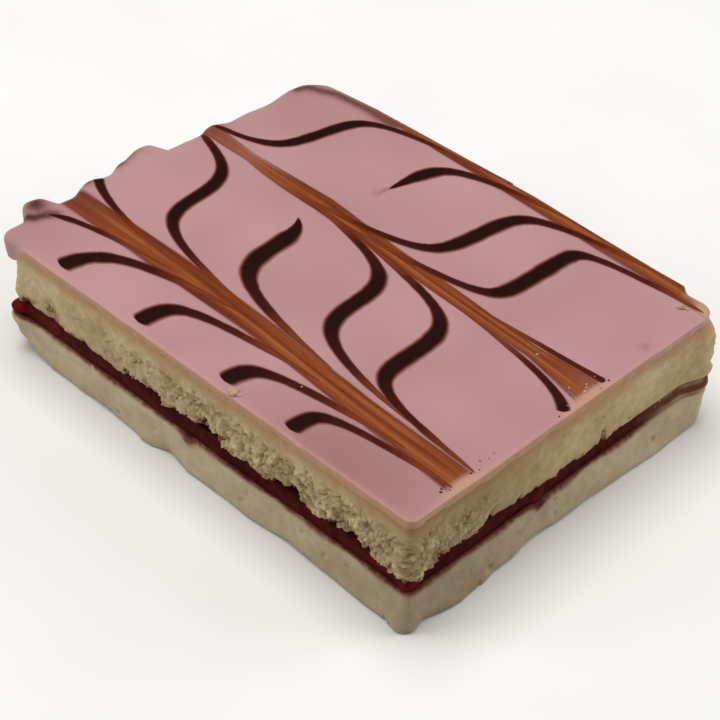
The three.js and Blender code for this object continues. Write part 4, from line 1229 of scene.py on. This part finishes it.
def glaze_finish():
    """Satin pink sugar glaze with painted shade near its corners, streaky brown bands and thin brown
    smudges.
    """
    material, tree, shader = finish("pink_glaze")
    place = millimetres(tree)
    along = add(tree, "ShaderNodeSeparateXYZ", {0: place}).outputs["X"]
    pink = ramp(tree, noise(tree, place, 16.0, detail=1.0), PINK)
    # painted shade on the pink
    pink = blend(tree, attribute(tree, "painted_pink_shade"), pink, PINK_SHADE_COLOUR)

    far = calculate(tree, "MULTIPLY", along, 0.012)
    slow = calculate(tree, "MULTIPLY", along, 0.004)
    across = attribute(tree, "comb_across")
    drawn = add(tree, "ShaderNodeCombineXYZ", {0: far, 1: across, 2: slow}).outputs[0]
    broad = noise(tree, drawn, 0.5, detail=1.0)
    thin = noise(tree, drawn, 0.14, roughness=0.65)
    streak = calculate(tree, "MULTIPLY_ADD", thin, 0.32, calculate(tree, "MULTIPLY", broad, 0.68))
    wander = calculate(tree, "MULTIPLY_ADD", noise(tree, drawn, 0.3), 0.5, -0.25)
    reach = calculate(tree, "ADD", attribute(tree, "comb_reach"), wander)
    edge_line = calculate(tree, "MULTIPLY", between(tree, reach, 0.7, 0.95), 0.6)
    brown = blend(tree, edge_line, ramp(tree, streak, COMB_BROWNS), COMB_EDGE)
    share = attribute(tree, "comb_cover")
    streaky = between(tree, share, 0.45, 0.62, 0.0, 1.4)
    patchy = calculate(tree, "MULTIPLY_ADD", calculate(tree, "SUBTRACT", streak, 0.5), streaky, share)
    cover = calculate(tree, "MULTIPLY", between(tree, reach, 1.15, 0.85), between(tree, patchy, 0.1, 0.85))
    colour = blend(tree, cover, pink, brown)
    smudge = attribute(tree, "smudge")
    colour = blend(tree, smudge, colour, ramp(tree, smudge, THIN_CHOCOLATE))
    worn_and_lightened_rim = attribute(tree, "worn_and_lightened_rim")
    colour = blend(tree, between(tree, worn_and_lightened_rim, 0.0, 0.6), colour, ramp(tree, worn_and_lightened_rim, RUBBED_TAN))
    ridges = calculate(tree, "MULTIPLY", thin, cover)
    fill(tree, shader, {
        "Base Color": colour, "Roughness": 0.4, "Specular IOR Level": 0.14,
        "Normal": bump(tree, ridges, 0.05),
        "Subsurface Weight": 0.25, "Subsurface Radius": (1.0, 0.55, 0.5), "Subsurface Scale": 0.6 * MM,
    })
    return material


comb_reach, comb_across, comb_cover = comb_marks(glaze_points)
piece(
    "pink_glaze", glaze_points, [glaze_quads, glaze_fans], glaze_finish(), replaced=["glaze"],
    carried={
        "comb_reach": comb_reach, "comb_across": comb_across, "comb_cover": comb_cover,
        "smudge": np.maximum(spots_at(SMUDGES, glaze_points), smears_at(glaze_points)),
        "worn_and_lightened_rim": worn_and_lightened_rim_at(glaze_points),
        "painted_pink_shade": spots_at(PINK_SHADE_SPOTS, glaze_points),
    },
)

# %% [markdown]
# ## The chocolate lines
# Each line keeps the place where it was piped, x, and is dragged along X by exp((y - y1) / fade)
# near a comb, so it turns more and more until it lies along the band. A piped line keeps its width
# along X: it is thick where it runs across the slice and thin where it was drawn out. The lines
# could be curves with a bevel, but a cord of its own section, flat below and softly domed above,
# sits better on the glaze.

# %% Where the lines run
STROKES = [  # field, x, width, lean, (y1, fade) below and above, start, end, taper at its free end
    ("low", -43.3, 1.9, 0, None, (-24.67, 2.03), -22.8, None, 3.4),
    ("low", -30.4, 2.6, 0, None, (-26.46, 2.72), -28.9, None, 0.8),
    ("low", -13.2, 2.6, 0, None, (-24.52, 1.46), -29.1, None, 0.8),
    ("low", 3.9, 2.7, 0, None, (-25.47, 1.38), -28.9, None, 0.8),
    ("low", 16.86, 2.5, 0, None, (-25.06, 1.02), -29.2, None, 0.8),
    ("mid", -46.0, 1.9, 0, (-8.3, 2.6), None, None, -10.2, 1.0),
    ("mid", -29.1, 2.0, 0.116, (-7.95, 2.55), (-0.69, 3.1), None, None, 1.0),
    ("mid", -12.74, 2.6, 0.087, (-8.26, 2.63), (0.36, 2.39), None, 3.3, 5.0),
    ("mid", 4.32, 2.3, 0.142, (-8.4, 2.71), (-0.88, 2.58), None, None, 1.0),
    ("mid", 17.55, 2.3, 0.044, (-12.86, 1.61), (-1.48, 2.39), None, None, 1.0),
    ("mid", 41.37, 1.9, -0.055, None, (-2.54, 2.22), -1.4, None, 0.7),
    ("up", -28.49, 1.9, 0.171, (14.62, 1.8), (26.74, 1.58), None, None, 1.0),
    ("up", -11.0, 2.2, 0.108, None, (26.39, 1.7), 17.4, None, 6.5),
    ("up", 5.46, 2.2, 0.093, (12.99, 1.8), (26.03, 1.62), None, None, 1.0),
    ("up", 17.5, 2.4, 0.024, (11.14, 1.29), (26.1, 0.9), None, None, 1.0),
    ("up", 41.6, 2.3, 0, (8.1, 0.42), None, None, 7.9, 0.7),
]
FIELD_MIDDLE = {"low": -26.0, "mid": -5.0, "up": 19.0}
DRAG = {"low": (0, 1), "mid": (1, -1), "up": (-1, 1)}
LONGEST_DRAG = 26.0
LINE_STEP = 0.22


def stroke_line(stroke):
    """Points of a line's middle, evenly spaced, its unit tangents, and how far each was dragged.
    x = where it was piped + its lean + the drag of the comb below + that of the comb above."""
    field, x, _, lean, below, above, start, end, _ = stroke
    reach = np.log(LONGEST_DRAG)
    first = start if start is not None else below[0] - below[1] * reach
    last = end if end is not None else above[0] + above[1] * reach
    y = np.linspace(first, last, 2000)
    pull_below = np.exp((below[0] - y) / below[1]) if below else 0 * y
    pull_above = np.exp((y - above[0]) / above[1]) if above else 0 * y
    drag_below, drag_above = DRAG[field]
    line_x = x + lean * (y - FIELD_MIDDLE[field]) + drag_below * pull_below + drag_above * pull_above
    walked = np.concatenate([[0], np.cumsum(np.hypot(np.diff(line_x), np.diff(y)))])
    even = np.linspace(0, walked[-1], max(8, round(walked[-1] / LINE_STEP)))
    line = np.stack([np.interp(even, walked, line_x), np.interp(even, walked, y)], axis=-1)
    tangent = np.gradient(line, axis=0)
    tangent /= np.linalg.norm(tangent, axis=1, keepdims=True)
    return line, tangent, np.interp(even, walked, np.maximum(pull_below, pull_above))


# %% Cords of chocolate
LINE_HEIGHT = 0.08
LINE_ROOT = 0.2
BLEED = 1.42  # the line's thin reddish fringe makes it this much wider
LINE_TO_EDGE = 0.45  # a line stops this far from the glaze's edge
LINE_TO_CUT = 0.9  # and this far from the cut on +X
DRAGGED_TAPER = 2.5  # length of the taper where a line was dragged away
POINTED_TAPER = 3.0  # a longer taper than this ends in a point, a shorter one is round
SECTION = np.array([  # across, up: the domed top from one rim to the other, then the root
    (1.0, 0.08), (0.92, 0.16), (0.82, 0.34), (0.7, 0.62), (0.5, 0.86), (0.0, 1.0), (-0.5, 0.86),
    (-0.7, 0.62), (-0.82, 0.34), (-0.92, 0.16), (-1.0, 0.08), (-0.6, -1.0), (0.0, -1.0), (0.6, -1.0),
])


def chocolate_cord(stroke):
    """Rows of a line's skin: a section carried along it on the glaze's own height, and two numbers
    for its colour: how thin it was drawn out, and how near a point is to the line's rim. Its half
    width = the piped half width * (0.3 + 0.7 * |tangent's y|) * the tail's share * the ends' share."""
    _, _, width, _, _, _, start, end, taper = stroke
    line, tangent, pull = stroke_line(stroke)
    inside = (to_edge(line[:, 0], line[:, 1]) > LINE_TO_EDGE) & (line[:, 0] < LENGTH / 2 - LINE_TO_CUT)
    line, tangent, pull = line[inside], tangent[inside], pull[inside]
    walked = np.arange(len(line)) * LINE_STEP
    thick = 0.3 + 0.7 * np.abs(tangent[:, 1])
    tail = 1 - 0.75 * step(pull, 0.45 * LONGEST_DRAG, LONGEST_DRAG)
    taper_start = taper if start is not None else DRAGGED_TAPER
    taper_end = taper if end is not None else DRAGGED_TAPER
    from_start = walked / taper_start
    from_end = (walked[-1] - walked) / taper_end
    near_end = np.minimum(from_start, from_end)
    shrunk = np.clip(near_end, 0, 1)
    pointed = np.where(from_start < from_end, taper_start, taper_end) > POINTED_TAPER
    ends = np.where(pointed, shrunk**0.8, np.sqrt(1 - (1 - shrunk) ** 2))
    places = in_space(line, 0.0)
    uneven = 1 + 0.06 * lumps(places, 2.5, 111) + 0.04 * lumps(places, 0.9, 112)
    half = BLEED * width / 2 * thick * tail * uneven * np.clip(ends, 0.03, 1)
    aside = np.stack([tangent[:, 1], -tangent[:, 0]], axis=-1)
    across, up = SECTION.T
    flat = line[:, None, :] + aside[:, None, :] * (half[:, None] * across)[..., None]
    tall = np.where(up > 0, LINE_HEIGHT, LINE_ROOT) * up * np.clip(half / 0.8, 0.15, 1)[:, None]
    z = glaze_height(flat[..., 0], flat[..., 1]) + tall
    thinness = np.maximum(0.5 * (1 - thick) / 0.7, step(pull, 3.0, 0.8 * LONGEST_DRAG))
    thinness = np.broadcast_to(thinness[:, None], z.shape)
    rim = np.maximum(np.abs(across)[None, :], 1 - np.clip(near_end * 2.5, 0, 1)[:, None])
    return in_space(flat, z), thinness, rim


DRAWN_BROWNS = [  # from thick chocolate to chocolate that was drawn out thin
    (0.1, linear(32, 13, 9)), (0.35, linear(52, 19, 12)),
    (0.6, linear(86, 34, 18)), (0.9, linear(114, 54, 28)),
]
FRINGE = [(0.66, linear(60, 22, 15)), (0.82, linear(112, 62, 52)), (1.0, linear(170, 127, 127))]
FRINGE_ON_COMB = linear(104, 44, 16)


def chocolate_finish():
    """Dark chocolate that turns red-brown where it was drawn out thin, with a soft reddish rim."""
    material, tree, shader = finish("dark_chocolate")
    place = millimetres(tree)
    drawn = attribute(tree, "drawn_thin")
    mottle = calculate(tree, "MULTIPLY_ADD", noise(tree, place, 1.5), 0.2, -0.1)
    core = ramp(tree, calculate(tree, "ADD", drawn, mottle), DRAWN_BROWNS)
    rim = attribute(tree, "line_rim")
    fringe = blend(tree, attribute(tree, "on_comb"), ramp(tree, rim, FRINGE), FRINGE_ON_COMB)
    colour = blend(tree, between(tree, rim, 0.5, 0.72), core, fringe)
    fill(tree, shader, {"Base Color": colour, "Roughness": 0.5, "Specular IOR Level": 0.03})
    return material


cords = [chocolate_cord(stroke) for stroke in STROKES]
skins = [closed_skin(rows) for rows, _, _ in cords]
starts = np.cumsum([0] + [len(points) for points, _, _ in skins])
cord_points = np.concatenate([points for points, _, _ in skins])
cord_quads = np.concatenate([quads + start for (_, quads, _), start in zip(skins, starts)])
cord_fans = np.concatenate([fans + start for (_, _, fans), start in zip(skins, starts)])
cord_thin = np.concatenate([np.append(thinness, thinness[[0, -1], 0]) for _, thinness, _ in cords])
cord_rim = np.concatenate([np.append(rim, [1, 1]) for _, _, rim in cords])
cord_reach, _, cord_cover = comb_marks(cord_points)
chocolate = chocolate_finish()
piece(
    "chocolate_lines", cord_points, [cord_quads, cord_fans], chocolate,
    carried={
        "drawn_thin": cord_thin, "line_rim": cord_rim,
        "on_comb": cord_cover * (1 - step(cord_reach, 0.85, 1.15)),
    },
)

# %% [markdown]
# ## Crumbs on the glaze
# The knife left a few pale crumbs and chocolate specks on the glaze, most of them where the cut
# crossed a comb's band. There are so few that their places are a plain list. They are made by the
# same function as the crumbs on the sides, each pressed a little more than half into the glaze.

# %% Crumbs on the glaze
PALE_CRUMBS = [  # x, y, radius
    (29.0, 5.2, 0.26), (38.0, -13.0, 0.22), (6.6, -29.4, 1.0), (7.4, -29.3, 0.6),
    (36.2, 27.3, 0.7), (36.9, 27.6, 0.5), (35.6, 27.0, 0.4),
    (36.4, 3.2, 0.2), (37.6, 5.4, 0.3), (38.3, 4.2, 0.36), (38.9, 2.8, 0.2), (37.3, 7.4, 0.2),
    (38.0, 4.9, 0.24), (39.2, 6.3, 0.3), (38.6, 0.4, 0.26), (39.3, -3.2, 0.24), (12.0, -22.4, 0.22),
    (11.2, -22.0, 0.18),
]
CHOCOLATE_SPECKS = [  # x, y, radius
    (38.3, -23.6, 0.3), (38.0, -23.1, 0.2), (38.6, -18.2, 0.26), (38.3, -17.7, 0.18), (38.8, -22.4, 0.2),
    (37.9, -15.8, 0.13), (38.3, -14.6, 0.14), (38.1, -13.4, 0.13),
    (38.9, -17.0, 0.16), (39.0, 8.3, 0.26), (39.2, -2.0, 0.22), (38.2, 6.4, 0.18), (37.4, 2.2, 0.16),
]
SUNK = 0.2  # the glaze closed round them, so their middles lie below its surface by this share


def on_the_glaze(spots):
    """Crumbs pressed into the glaze."""
    x, y, radius = np.array(spots).T
    return crumbs(np.stack([x, y, glaze_height(x, y) - SUNK * radius], axis=-1), radius)


pale_points, pale_faces = on_the_glaze(PALE_CRUMBS)
nothing = 0 * pale_points[:, 0]
sugared = shortbread_finish(
    "sugared_crumb", linear(168, 132, 112), linear(184, 152, 130), linear(202, 176, 152)
)
piece(
    "glaze_crumbs", pale_points, pale_faces, sugared, smooth=False,
    carried={"jam_stain_and_gap_shade": nothing, "crumb_shade_and_highlight": nothing, "painted_corner_shade": nothing},
)
speck_points, speck_faces = on_the_glaze(CHOCOLATE_SPECKS)
nothing = 0 * speck_points[:, 0]
piece(
    "chocolate_specks", speck_points, speck_faces, chocolate, smooth=False,
    carried={"drawn_thin": nothing + 1, "line_rim": nothing + 0.8, "on_comb": nothing},
)
